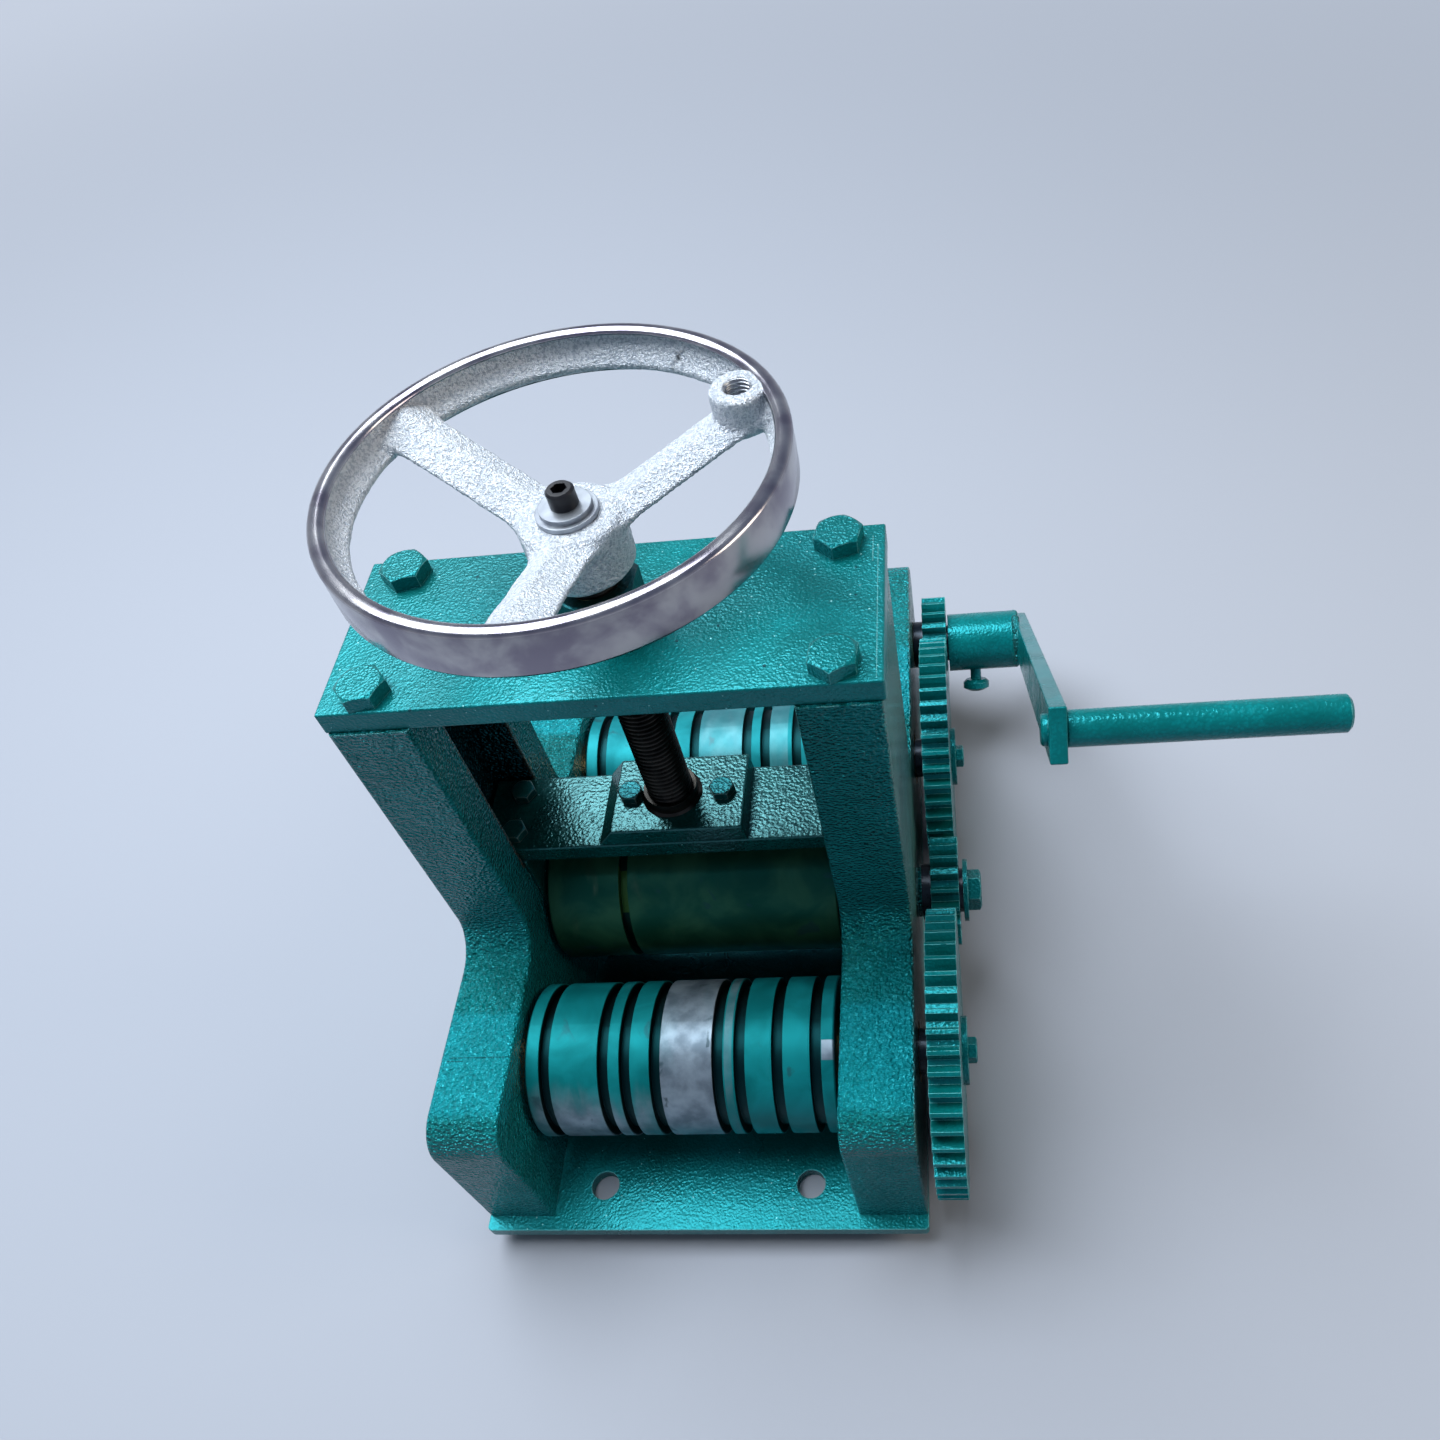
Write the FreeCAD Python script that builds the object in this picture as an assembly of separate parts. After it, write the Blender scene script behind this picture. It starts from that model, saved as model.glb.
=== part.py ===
import FreeCAD, Part

import math
import os

from FreeCAD import Placement, Rotation, Vector

# Hand-cranked three-roll bender. Millimetres, +Z up, +X towards the gears and
# the crank, +Y towards the crank shaft. The origin is on the underside of the
# base plate, straight below the pressure screw.

# ---- clearances ----
RUNNING_FIT = 0.05          # radial, shaft in bush and screw in nut
SEAT_FIT = 0.02             # radial, pieces fixed to each other
SIDE_PLAY = 0.3             # between pieces that move past each other
BOLT_HOLE_PLAY = 0.5        # radial, bolt shank in a plain hole
OVERCUT = 1.0               # cutting tools run this far past a face
DRILL_TIP = 2.0             # tapped holes are this much deeper than the bolt
BAR_EDGE = 0.8              # rounded edges of rolled plate and bar
HEX_FACE_SHARE = 0.94       # round face of a hex head over its flats

# ---- gear train ----
MODULE = 2.5
PRESSURE_ANGLE = math.radians(20.0)
ROLLER_TEETH = 48
PINION_TEETH = 19
GEAR_WIDTH = 13.0
BACKLASH = 0.16
ADDENDUM = 1.0              # in modules
DEDENDUM = 1.25             # in modules
FLANK_STEPS = 2
GEAR_STANDOFF = 5.7         # right frame to roller gears
IDLER_OFFSET = 1.5          # idler stands this much further out

# ---- base plate ----
BASE_THICKNESS = 6.0
BASE_SIDE_LIP = 0.1
BASE_FRONT_LIP = 6.5
BASE_REAR_LIP = 6.0
BASE_CORNER = 2.0
BASE_HOLE_RADIUS = 6.5
BASE_HOLE_SPACING = 97.2
BASE_HOLE_INSET = 20.6

# ---- side frames ----
FRAME_GAP = 141.4           # between the inner faces
FRAME_WIDTH = 31.2
AXLE_HEIGHT = 46.0          # roller axes above the base plate
LOBE_ABOVE_AXLE = 39.5
FRONT_MARGIN = 56.75        # front roller axis to front face
REAR_MARGIN = 31.5          # crank axis to rear face
POST_HALF_DEPTH = 42.0
POST_HEIGHT = 230.4
LOBE_CORNER = 15.0
POST_FILLET = 17.0
CASTING_EDGE = 1.6
POCKET_HALF_WIDTH = 21.0
POCKET_DEPTH = 19.5
IDLER_BOSS_RADIUS = 12.0
IDLER_BOSS_HEIGHT = 2.5

# ---- foot screws, countersunk from below ----
FOOT_SCREW_RADIUS = 5.0
FOOT_HEAD_RADIUS = 9.6
FOOT_HEAD_SUNK = 0.2
FOOT_SCREW_LENGTH = 24.0
FOOT_SCREW_MARGIN = 25.0    # first and last screw from the frame ends

# ---- top plate ----
TOP_PLATE_THICKNESS = 10.0
TOP_PLATE_SIDE_LIP = 1.1
TOP_PLATE_SETBACK = 1.25
TOP_BOLT_RADIUS = 5.0
TOP_BOLT_FLATS = 17.0
TOP_BOLT_HEAD = 6.4
TOP_BOLT_LENGTH = 35.0
TOP_BOLT_TURNS = (8.0, 16.0, 24.5, 18.0)    # how far each head came to be turned
TOP_BOLT_INSET = 16.2       # from the outer face of the frame
TOP_BOLT_END_INSET = 10.6   # from the front and rear faces of the post
NUT_FLATS = 30.0
NUT_HEIGHT = 18.0
NUT_TURN = 30.0             # flats face left and right

# ---- rollers ----
ROLLER_RADIUS = 34.2
ROLLER_SIDE_GAP = 2.7
ROLLER_CHAMFER = 1.0
GROOVE_DEPTH = 4.0
GROOVE_WIDTH = 4.8
GROOVE_CENTRES = (-59.2, -33.0, -23.3, -10.0, 17.4, 26.9, 43.2, 59.6)
PRESSURE_GROOVE_CENTRES = (-31.4,)
PRESSURE_GROOVE_WIDTH = 4.1
SHAFT_RADIUS = 10.0
SHAFT_END_RECESS = 1.0
SHAFT_CHAMFER = 0.8
BUSH_WALL = 3.5
THRUST_WASHER_RADIUS = 17.0

# ---- roller gears on their shafts ----
GEAR_SEAT_RADIUS = 8.0
KEY_WIDTH = 5.0
KEY_END_GAP = 0.5
GEAR_WASHER_RADIUS = 15.0
GEAR_WASHER_THICKNESS = 2.5
GEAR_BOLT_RADIUS = 3.0
GEAR_BOLT_FLATS = 10.0
GEAR_BOLT_HEAD = 4.0
GEAR_BOLT_LENGTH = 18.0

# ---- idler stud ----
IDLER_SPACER_RADIUS = 13.5
IDLER_SLEEVE_RADIUS = 10.5
IDLER_SLEEVE_PROUD = 1.9
IDLER_WASHER_RADIUS = 15.0
IDLER_WASHER_THICKNESS = 2.2
IDLER_BOLT_RADIUS = 5.0
IDLER_BOLT_FLATS = 17.0
IDLER_BOLT_HEAD = 6.4

# ---- crank ----
CRANK_SPACER_RADIUS = 13.0
CRANK_COLLAR_RADIUS = 15.0
CRANK_COLLAR_WIDTH = 12.0
SLEEVE_RADIUS = 16.0
SLEEVE_LENGTH = 38.1
SLEEVE_GAP = 0.9            # pinion to sleeve
SLEEVE_EMPTY_END = 4.0      # shaft stops this far short of the arm
WELD_SIZE = 3.0
ARM_ANGLE = math.radians(36.7)
ARM_CENTRES = 234.0
ARM_WIDTH = 22.0
ARM_THICKNESS = 6.8
ARM_INNER_END = 26.0
ARM_OUTER_END = 11.6
GRIP_RADIUS = 7.2
GRIP_LENGTH = 102.0
GRIP_END_ROUND = 1.2
PIN_RADIUS = 4.0
PIN_HEAD_RADIUS = 6.25
PIN_HEAD_HEIGHT = 2.5
PIN_IN_GRIP = 70.0
CLAMP_SCREW_OFFSET = 14.5   # from the pinion end of the sleeve
CLAMP_SCREW_RADIUS = 3.0
CLAMP_HEAD_RADIUS = 7.25
CLAMP_HEAD_HEIGHT = 6.5
CLAMP_HEAD_REACH = 12.0     # outer end of the head beyond the sleeve

# ---- yoke: sliding blocks, crossbar and keeper ----
PRESSURE_AXIS_LIFT = 16.5   # pressure roller above the other two, at rest
YOKE_LOWERING = 6.0
POCKET_FLOOR_GAP = 2.0
BLOCK_BELOW_AXIS = 18.5
BLOCK_ABOVE_AXIS = 52.5
BLOCK_PROUD = 1.5           # block stands out of the pocket
CROSSBAR_HALF_DEPTH = 20.2
CROSSBAR_THICKNESS = 9.0
CROSSBAR_END_GAP = 2.2
BLOCK_BOLT_RADIUS = 3.0
BLOCK_BOLT_FLATS = 10.0
BLOCK_BOLT_HEAD = 4.0
BLOCK_BOLT_LENGTH = 24.0
BLOCK_BOLT_INSET = 3.8      # from the inner face of the block
BLOCK_BOLT_HALF_SPACING = 11.2
KEEPER_HALF_LENGTH = 33.5
KEEPER_HEIGHT = 9.5
KEEPER_SLOPE_LEFT = 8.0
KEEPER_SLOPE_RIGHT = 1.0
KEEPER_BOLT_SPACING = 41.0
KEEPER_BOLT_SHIFT = 2.0
KEEPER_BOLT_LENGTH = 16.0
KEEPER_ROOF = 4.0

# ---- pressure screw and handwheel ----
SCREW_RADIUS = 10.0
FOOT_RADIUS = 13.4
SCREW_COLLAR_RADIUS = 11.75
SCREW_COLLAR_HEIGHT = 5.0
WHEEL_ABOVE_NUT = 7.9
WHEEL_SEAT_RADIUS = 8.0
HUB_HEIGHT = 22.4
HUB_BOTTOM_RADIUS = 18.2
HUB_TOP_RADIUS = 18.6
HUB_ROUND = 2.5
WHEEL_KEY_LENGTH = 18.0
RIM_RADIUS = 80.0
RIM_ABOVE_HUB_FOOT = 26.5
RIM_HEIGHT = 18.3
RIM_WIDTH = 9.0
RIM_TOP_WIDTH = 4.6
RIM_ROUND = 1.6
RIM_INNER_FOOT = 4.2        # inner side above the foot of the rim
RIM_INNER_WALL = 2.2        # height of the inner side below the cove
RIM_COVE_SAG = 1.8
SPOKE_ANGLES = (28.0, 148.0, 268.0)
SPOKE_WIDTH = 20.8
SPOKE_SIDE_HEIGHT = 2.0
SPOKE_RIDGE_HEIGHT = 5.6
SPOKE_RIDGE_SHIFT = 1.5     # ridge off the middle, clockwise
SPOKE_HUB_RISE = 15.3       # spoke underside above the hub foot, at the hub
SPOKE_RIM_RISE = 34.7       # and at the rim
HANDLE_BOSS_RADIUS = 10.3
HANDLE_BOSS_HEIGHT = 14.6
HANDLE_BOSS_ORBIT = 67.5
HANDLE_BOSS_DROP = 0.5      # boss below the top of the rim
HANDLE_HOLE_RADIUS = 4.25
LARGE_WASHER_RADIUS = 11.0
SMALL_WASHER_RADIUS = 9.25
WHEEL_WASHER_THICKNESS = 2.0
WHEEL_SCREW_RADIUS = 3.0
WHEEL_SCREW_LENGTH = 20.0
WHEEL_SCREW_HEAD_RADIUS = 5.0
WHEEL_SCREW_HEAD_HEIGHT = 6.6
WHEEL_SCREW_SOCKET_FLATS = 5.0
WHEEL_SCREW_SOCKET_DEPTH = 3.4

# ---- places that follow from the sizes ----
ROLLER_GEAR_RADIUS = MODULE * ROLLER_TEETH / 2
PINION_RADIUS = MODULE * PINION_TEETH / 2
ROLLER_Y = ROLLER_GEAR_RADIUS + PINION_RADIUS
CRANK_Y = ROLLER_Y + ROLLER_GEAR_RADIUS + PINION_RADIUS

DECK_Z = BASE_THICKNESS
AXLE_Z = DECK_Z + AXLE_HEIGHT
LOBE_Z = AXLE_Z + LOBE_ABOVE_AXLE
POST_Z = DECK_Z + POST_HEIGHT
PRESSURE_Z = AXLE_Z + PRESSURE_AXIS_LIFT
BLOCK_FOOT_Z = PRESSURE_Z - BLOCK_BELOW_AXIS
CROSSBAR_Z = PRESSURE_Z + BLOCK_ABOVE_AXIS
KEEPER_Z = CROSSBAR_Z + CROSSBAR_THICKNESS
KEEPER_TOP_Z = KEEPER_Z + KEEPER_HEIGHT
POCKET_FLOOR_Z = BLOCK_FOOT_Z - YOKE_LOWERING - POCKET_FLOOR_GAP
TOP_PLATE_Z = POST_Z + TOP_PLATE_THICKNESS
NUT_TOP_Z = TOP_PLATE_Z + NUT_HEIGHT
HUB_Z = NUT_TOP_Z + WHEEL_ABOVE_NUT
HUB_TOP_Z = HUB_Z + HUB_HEIGHT
RIM_Z = HUB_Z + RIM_ABOVE_HUB_FOOT

INNER_X = FRAME_GAP / 2
OUTER_X = INNER_X + FRAME_WIDTH
POCKET_X = INNER_X + POCKET_DEPTH
FRONT_Y = -(ROLLER_Y + FRONT_MARGIN)
REAR_Y = CRANK_Y + REAR_MARGIN
ROLLER_HALF_LENGTH = INNER_X - ROLLER_SIDE_GAP
GEAR_X = OUTER_X + GEAR_STANDOFF
GEAR_END_X = GEAR_X + GEAR_WIDTH
IDLER_X = GEAR_X + IDLER_OFFSET
IDLER_END_X = IDLER_X + GEAR_WIDTH
BOSS_END_X = OUTER_X + IDLER_BOSS_HEIGHT
IDLER_SEAT_X = IDLER_X - SIDE_PLAY
IDLER_SLEEVE_END_X = IDLER_END_X + IDLER_SLEEVE_PROUD
SLEEVE_X = GEAR_END_X + SLEEVE_GAP
ARM_X = SLEEVE_X + SLEEVE_LENGTH
ARM_END_X = ARM_X + ARM_THICKNESS
ARM_DIRECTION = Vector(0, -math.cos(ARM_ANGLE), math.sin(ARM_ANGLE))
GRIP_Y = CRANK_Y + ARM_CENTRES * ARM_DIRECTION.y
GRIP_Z = AXLE_Z + ARM_CENTRES * ARM_DIRECTION.z
CLAMP_DIRECTION = Vector(0, -math.sin(ARM_ANGLE), -math.cos(ARM_ANGLE))
CLAMP_X = SLEEVE_X + CLAMP_SCREW_OFFSET
BLOCK_X = INNER_X - BLOCK_PROUD
BLOCK_END_X = POCKET_X - SIDE_PLAY
BLOCK_HALF_DEPTH = POCKET_HALF_WIDTH - SIDE_PLAY
BUSH_RADIUS = SHAFT_RADIUS + BUSH_WALL
BORE_RADIUS = SHAFT_RADIUS + RUNNING_FIT
SIDES = (-1, 1)


# ---- shape helpers ----
def box(x_range, y_range, z_range):
    corner = Vector(x_range[0], y_range[0], z_range[0])
    size = [high - low for low, high in (x_range, y_range, z_range)]
    return Part.makeBox(size[0], size[1], size[2], corner)


def rod_x(radius, x_range, y, z):
    start, end = min(x_range), max(x_range)
    return Part.makeCylinder(radius, end - start, Vector(start, y, z), Vector(1, 0, 0))


def rod_z(radius, z_range, x, y):
    start, end = min(z_range), max(z_range)
    return Part.makeCylinder(radius, end - start, Vector(x, y, start), Vector(0, 0, 1))


def ring_x(outer, inner, x_range, y, z):
    return rod_x(outer, x_range, y, z).cut(rod_x(inner, x_range, y, z))


def aimed(shape, point, axis):
    """Move a shape drawn at the origin along +Z to a point, along an axis."""
    shape.Placement = Placement(point, Rotation(Vector(0, 0, 1), axis))
    return shape


def rounded_outline(corners):
    """Closed wire in the YZ plane from (y, z, radius) corners."""
    count = len(corners)
    points = [Vector(0, y, z) for y, z, radius in corners]
    arcs = []
    for index in range(count):
        here = points[index]
        radius = corners[index][2]
        back = (points[index - 1] - here).normalize()
        ahead = (points[(index + 1) % count] - here).normalize()
        half_angle = back.getAngle(ahead) / 2
        reach = radius / math.tan(half_angle)
        inset = radius / math.sin(half_angle) - radius
        arcs.append((here + back * reach, here + (back + ahead).normalize() * inset, here + ahead * reach))
    edges = []
    for index, (start, middle, end) in enumerate(arcs):
        if corners[index][2] > 0:
            edges.append(Part.Arc(start, middle, end).toShape())
        edges.append(Part.LineSegment(end, arcs[(index + 1) % count][0]).toShape())
    return Part.Wire(edges)


def turned_x(profile, y, z):
    """Solid of revolution about the X direction through (y, z)."""
    points = [Vector(x, y, z + radius) for x, radius in profile]
    face = Part.Face(Part.makePolygon(points + points[:1]))
    return face.revolve(Vector(0, y, z), Vector(1, 0, 0), 360)


def hexagon(flats, height):
    corner = flats / math.sqrt(3)
    points = []
    for step in range(6):
        angle = math.radians(60 * step)
        points.append(Vector(corner * math.cos(angle), corner * math.sin(angle), 0))
    face = Part.Face(Part.makePolygon(points + points[:1]))
    return face.extrude(Vector(0, 0, height))


def chamfered_hexagon(flats, height):
    """Hexagon with its top corners turned away, as on a bolt head."""
    corner = flats / math.sqrt(3)
    face_radius = flats * HEX_FACE_SHARE / 2
    drop = (corner - face_radius) * math.tan(math.radians(30))
    cylinder = Part.makeCylinder(corner, height - drop)
    cone = Part.makeCone(corner, face_radius, drop, Vector(0, 0, height - drop))
    return hexagon(flats, height).common(cylinder.fuse(cone))


def hex_bolt(flats, head, radius, length):
    """Head above the origin, shank below it."""
    shank = Part.makeCylinder(radius, length, Vector(0, 0, -length))
    return chamfered_hexagon(flats, head).fuse(shank)


# ---- gears ----
def involute(angle):
    return math.tan(angle) - angle


def gear_outline(teeth, phase):
    """Tooth outline in the YZ plane; a tooth points at the phase angle from +Y."""
    pitch = MODULE * teeth / 2
    base = pitch * math.cos(PRESSURE_ANGLE)
    root = pitch - DEDENDUM * MODULE
    tip = pitch + ADDENDUM * MODULE
    start = max(root, base)
    half_tooth = math.pi / (2 * teeth) - BACKLASH / (2 * pitch)
    radii = [start + (tip - start) * step / FLANK_STEPS for step in range(FLANK_STEPS + 1)]
    flank = []
    for radius in radii:
        pressure = math.acos(min(1.0, base / radius))
        flank.append((radius, half_tooth + involute(PRESSURE_ANGLE) - involute(pressure)))
    if root < start:
        flank.insert(0, (root, flank[0][1]))
    points = []
    for tooth in range(teeth):
        centre = phase + 2 * math.pi * tooth / teeth
        rising = [(radius, centre - half) for radius, half in flank]
        falling = [(radius, centre + half) for radius, half in reversed(flank)]
        for radius, angle in rising + falling:
            points.append(Vector(0, radius * math.cos(angle), radius * math.sin(angle)))
    return Part.makePolygon(points + points[:1])


def spur_gear(teeth, phase, bore, x_start, y):
    blank = Part.Face(gear_outline(teeth, phase)).extrude(Vector(GEAR_WIDTH, 0, 0))
    blank.translate(Vector(x_start, y, AXLE_Z))
    return blank.cut(rod_x(bore, (x_start - OVERCUT, x_start + GEAR_WIDTH + OVERCUT), y, AXLE_Z))


def key_x(shaft_radius, x_range, y, play=0.0):
    """Square key on top of a shaft, half of it in the shaft."""
    half = KEY_WIDTH / 2
    sides = (y - half - play, y + half + play)
    heights = (AXLE_Z + shaft_radius - half - play, AXLE_Z + shaft_radius + half + play)
    return box((x_range[0] - play, x_range[1] + play), sides, heights)


# ---- base and frames ----
def foot_screw_places():
    span = REAR_Y - FRONT_Y - 2 * FOOT_SCREW_MARGIN
    rows = [FRONT_Y + FOOT_SCREW_MARGIN + span * step / 2 for step in range(3)]
    middle = (INNER_X + OUTER_X) / 2
    return [(side * middle, y) for side in SIDES for y in rows]


def foot_screw(x, y, play=0.0):
    head_depth = FOOT_HEAD_RADIUS - FOOT_SCREW_RADIUS
    head_z = FOOT_HEAD_SUNK - play
    top = FOOT_SCREW_LENGTH
    head = Part.makeCone(FOOT_HEAD_RADIUS + play, FOOT_SCREW_RADIUS + play, head_depth)
    head.translate(Vector(x, y, head_z))
    shank = rod_z(FOOT_SCREW_RADIUS + play, (head_z, top + play), x, y)
    return head.fuse(shank)


def base_hole_places():
    rows = (FRONT_Y - BASE_FRONT_LIP + BASE_HOLE_INSET, REAR_Y + BASE_REAR_LIP - BASE_HOLE_INSET)
    return [(side * BASE_HOLE_SPACING / 2, y) for side in SIDES for y in rows]


def base_plate():
    half_width = OUTER_X + BASE_SIDE_LIP
    depth = (FRONT_Y - BASE_FRONT_LIP, REAR_Y + BASE_REAR_LIP)
    plate = box((-half_width, half_width), depth, (0, DECK_Z))
    uprights = [edge for edge in plate.Edges if edge.BoundBox.ZLength > DECK_Z / 2]
    plate = plate.makeFillet(BASE_CORNER, uprights)
    for x, y in base_hole_places():
        plate = plate.cut(rod_z(BASE_HOLE_RADIUS, (-OVERCUT, DECK_Z + OVERCUT), x, y))
    for x, y in foot_screw_places():
        mouth = rod_z(FOOT_HEAD_RADIUS + SEAT_FIT, (-OVERCUT, FOOT_HEAD_SUNK), x, y)
        plate = plate.cut(foot_screw(x, y, SEAT_FIT)).cut(mouth)
    return plate


def top_bolt_places():
    x = OUTER_X - TOP_BOLT_INSET
    y = POST_HALF_DEPTH - TOP_BOLT_END_INSET
    return [(side * x, end * y) for side in SIDES for end in SIDES]


def frame_casting():
    """The right frame before its boss; the left one is its mirror image."""
    outline = rounded_outline([
        (FRONT_Y, DECK_Z, 0),
        (REAR_Y, DECK_Z, 0),
        (REAR_Y, LOBE_Z, LOBE_CORNER),
        (POST_HALF_DEPTH, LOBE_Z, POST_FILLET),
        (POST_HALF_DEPTH, POST_Z, 0),
        (-POST_HALF_DEPTH, POST_Z, 0),
        (-POST_HALF_DEPTH, LOBE_Z, POST_FILLET),
        (FRONT_Y, LOBE_Z, LOBE_CORNER),
    ])
    casting = Part.Face(outline).extrude(Vector(FRAME_WIDTH, 0, 0))
    casting.translate(Vector(INNER_X, 0, 0))
    rims = []
    for edge in casting.Edges:
        bounds = edge.BoundBox
        flat_end = bounds.ZMax < DECK_Z + 0.01 or bounds.ZMin > POST_Z - 0.01
        if bounds.XLength < 0.01 and not flat_end:
            rims.append(edge)
    casting = casting.makeFillet(CASTING_EDGE, rims)
    pocket = box(
        (INNER_X - OVERCUT, POCKET_X),
        (-POCKET_HALF_WIDTH, POCKET_HALF_WIDTH),
        (POCKET_FLOOR_Z, POST_Z + OVERCUT),
    )
    casting = casting.cut(pocket)
    bush_span = (INNER_X - OVERCUT, OUTER_X + OVERCUT)
    for y in (-ROLLER_Y, ROLLER_Y, CRANK_Y):
        casting = casting.cut(rod_x(BUSH_RADIUS + SEAT_FIT, bush_span, y, AXLE_Z))
    tapped_span = (TOP_PLATE_Z - TOP_BOLT_LENGTH - DRILL_TIP, POST_Z + OVERCUT)
    for x, y in top_bolt_places():
        casting = casting.cut(rod_z(TOP_BOLT_RADIUS + SEAT_FIT, tapped_span, x, y))
    for x, y in foot_screw_places():
        casting = casting.cut(foot_screw(x, y, SEAT_FIT))
    return casting


def right_frame():
    boss = rod_x(IDLER_BOSS_RADIUS, (OUTER_X - OVERCUT, BOSS_END_X), 0, AXLE_Z)
    stud_hole = rod_x(IDLER_BOLT_RADIUS + SEAT_FIT, (INNER_X, BOSS_END_X + OVERCUT), 0, AXLE_Z)
    return frame_casting().fuse(boss).cut(stud_hole)


def left_frame():
    return frame_casting().mirror(Vector(0, 0, 0), Vector(1, 0, 0))


def foot_screws():
    return Part.makeCompound([foot_screw(x, y) for x, y in foot_screw_places()])


def top_plate():
    half_width = OUTER_X + TOP_PLATE_SIDE_LIP
    half_depth = POST_HALF_DEPTH - TOP_PLATE_SETBACK
    plate = box((-half_width, half_width), (-half_depth, half_depth), (POST_Z, TOP_PLATE_Z))
    plate = plate.makeFillet(BAR_EDGE, plate.Edges)
    span = (POST_Z - OVERCUT, TOP_PLATE_Z + OVERCUT)
    for x, y in top_bolt_places():
        plate = plate.cut(rod_z(TOP_BOLT_RADIUS + BOLT_HOLE_PLAY, span, x, y))
    return plate.cut(rod_z(SCREW_RADIUS + BOLT_HOLE_PLAY, span, 0, 0))


def top_plate_bolts():
    bolts = []
    for (x, y), turn in zip(top_bolt_places(), TOP_BOLT_TURNS):
        bolt = hex_bolt(TOP_BOLT_FLATS, TOP_BOLT_HEAD, TOP_BOLT_RADIUS, TOP_BOLT_LENGTH)
        bolt.Placement = Placement(Vector(x, y, TOP_PLATE_Z), Rotation(Vector(0, 0, 1), turn))
        bolts.append(bolt)
    return Part.makeCompound(bolts)


def screw_nut():
    nut = chamfered_hexagon(NUT_FLATS, NUT_HEIGHT)
    nut.Placement = Placement(Vector(0, 0, TOP_PLATE_Z), Rotation(Vector(0, 0, 1), NUT_TURN))
    span = (TOP_PLATE_Z - OVERCUT, NUT_TOP_Z + OVERCUT)
    return nut.cut(rod_z(SCREW_RADIUS + RUNNING_FIT, span, 0, 0))


def frame_bushes(axes):
    bushes = []
    for side in SIDES:
        span = (side * INNER_X, side * OUTER_X)
        bushes += [ring_x(BUSH_RADIUS, BORE_RADIUS, span, y, AXLE_Z) for y in axes]
    return Part.makeCompound(bushes)


def roller_thrust_washers():
    washers = []
    for side in SIDES:
        span = (side * (ROLLER_HALF_LENGTH + SIDE_PLAY), side * INNER_X)
        for y in (-ROLLER_Y, ROLLER_Y):
            washers.append(ring_x(THRUST_WASHER_RADIUS, SHAFT_RADIUS + SIDE_PLAY, span, y, AXLE_Z))
    return Part.makeCompound(washers)


# ---- rollers and what turns with them ----
def roller(grooves, groove_width, y, z):
    half = ROLLER_HALF_LENGTH
    bore = SHAFT_RADIUS + SEAT_FIT
    floor = ROLLER_RADIUS - GROOVE_DEPTH
    shoulder = ROLLER_RADIUS - ROLLER_CHAMFER
    profile = [(-half, bore), (-half, shoulder), (-half + ROLLER_CHAMFER, ROLLER_RADIUS)]
    for centre in grooves:
        left = centre - groove_width / 2
        right = centre + groove_width / 2
        profile += [(left, ROLLER_RADIUS), (left, floor), (right, floor), (right, ROLLER_RADIUS)]
    profile += [(half - ROLLER_CHAMFER, ROLLER_RADIUS), (half, shoulder), (half, bore)]
    return turned_x(profile, y, z)


def geared_shaft(y):
    """Journal through both frames, then the smaller gear seat."""
    start = -OUTER_X + SHAFT_END_RECESS
    end = GEAR_END_X - KEY_END_GAP
    profile = [
        (start, 0),
        (start, SHAFT_RADIUS - SHAFT_CHAMFER),
        (start + SHAFT_CHAMFER, SHAFT_RADIUS),
        (GEAR_X, SHAFT_RADIUS),
        (GEAR_X, GEAR_SEAT_RADIUS),
        (end, GEAR_SEAT_RADIUS),
        (end, 0),
    ]
    shaft = turned_x(profile, y, AXLE_Z)
    shaft = shaft.cut(key_x(GEAR_SEAT_RADIUS, gear_key_span(), y, SEAT_FIT))
    bolt_end = GEAR_END_X + GEAR_WASHER_THICKNESS - GEAR_BOLT_LENGTH
    return shaft.cut(rod_x(GEAR_BOLT_RADIUS + SEAT_FIT, (bolt_end - DRILL_TIP, GEAR_END_X), y, AXLE_Z))


def gear_key_span():
    return (GEAR_X + KEY_END_GAP, GEAR_END_X - 2 * KEY_END_GAP)


def keyed_gear(teeth, phase, bore, y):
    gear = spur_gear(teeth, phase, bore + SEAT_FIT, GEAR_X, y)
    keyway = key_x(bore, (GEAR_X - OVERCUT, GEAR_END_X + OVERCUT), y, SEAT_FIT)
    return gear.cut(keyway)


def gear_washer(y):
    span = (GEAR_END_X, GEAR_END_X + GEAR_WASHER_THICKNESS)
    return ring_x(GEAR_WASHER_RADIUS, GEAR_BOLT_RADIUS + BOLT_HOLE_PLAY, span, y, AXLE_Z)


def gear_bolt(y):
    bolt = hex_bolt(GEAR_BOLT_FLATS, GEAR_BOLT_HEAD, GEAR_BOLT_RADIUS, GEAR_BOLT_LENGTH)
    return aimed(bolt, Vector(GEAR_END_X + GEAR_WASHER_THICKNESS, y, AXLE_Z), Vector(1, 0, 0))


def geared_roller_set(name, y, gear_phase):
    return {
        name + "_roller": roller(GROOVE_CENTRES, GROOVE_WIDTH, y, AXLE_Z),
        name + "_shaft": geared_shaft(y),
        name + "_gear": keyed_gear(ROLLER_TEETH, gear_phase, GEAR_SEAT_RADIUS, y),
        name + "_gear_key": key_x(GEAR_SEAT_RADIUS, gear_key_span(), y),
        name + "_gear_washer": gear_washer(y),
        name + "_gear_bolt": gear_bolt(y),
    }


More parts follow.
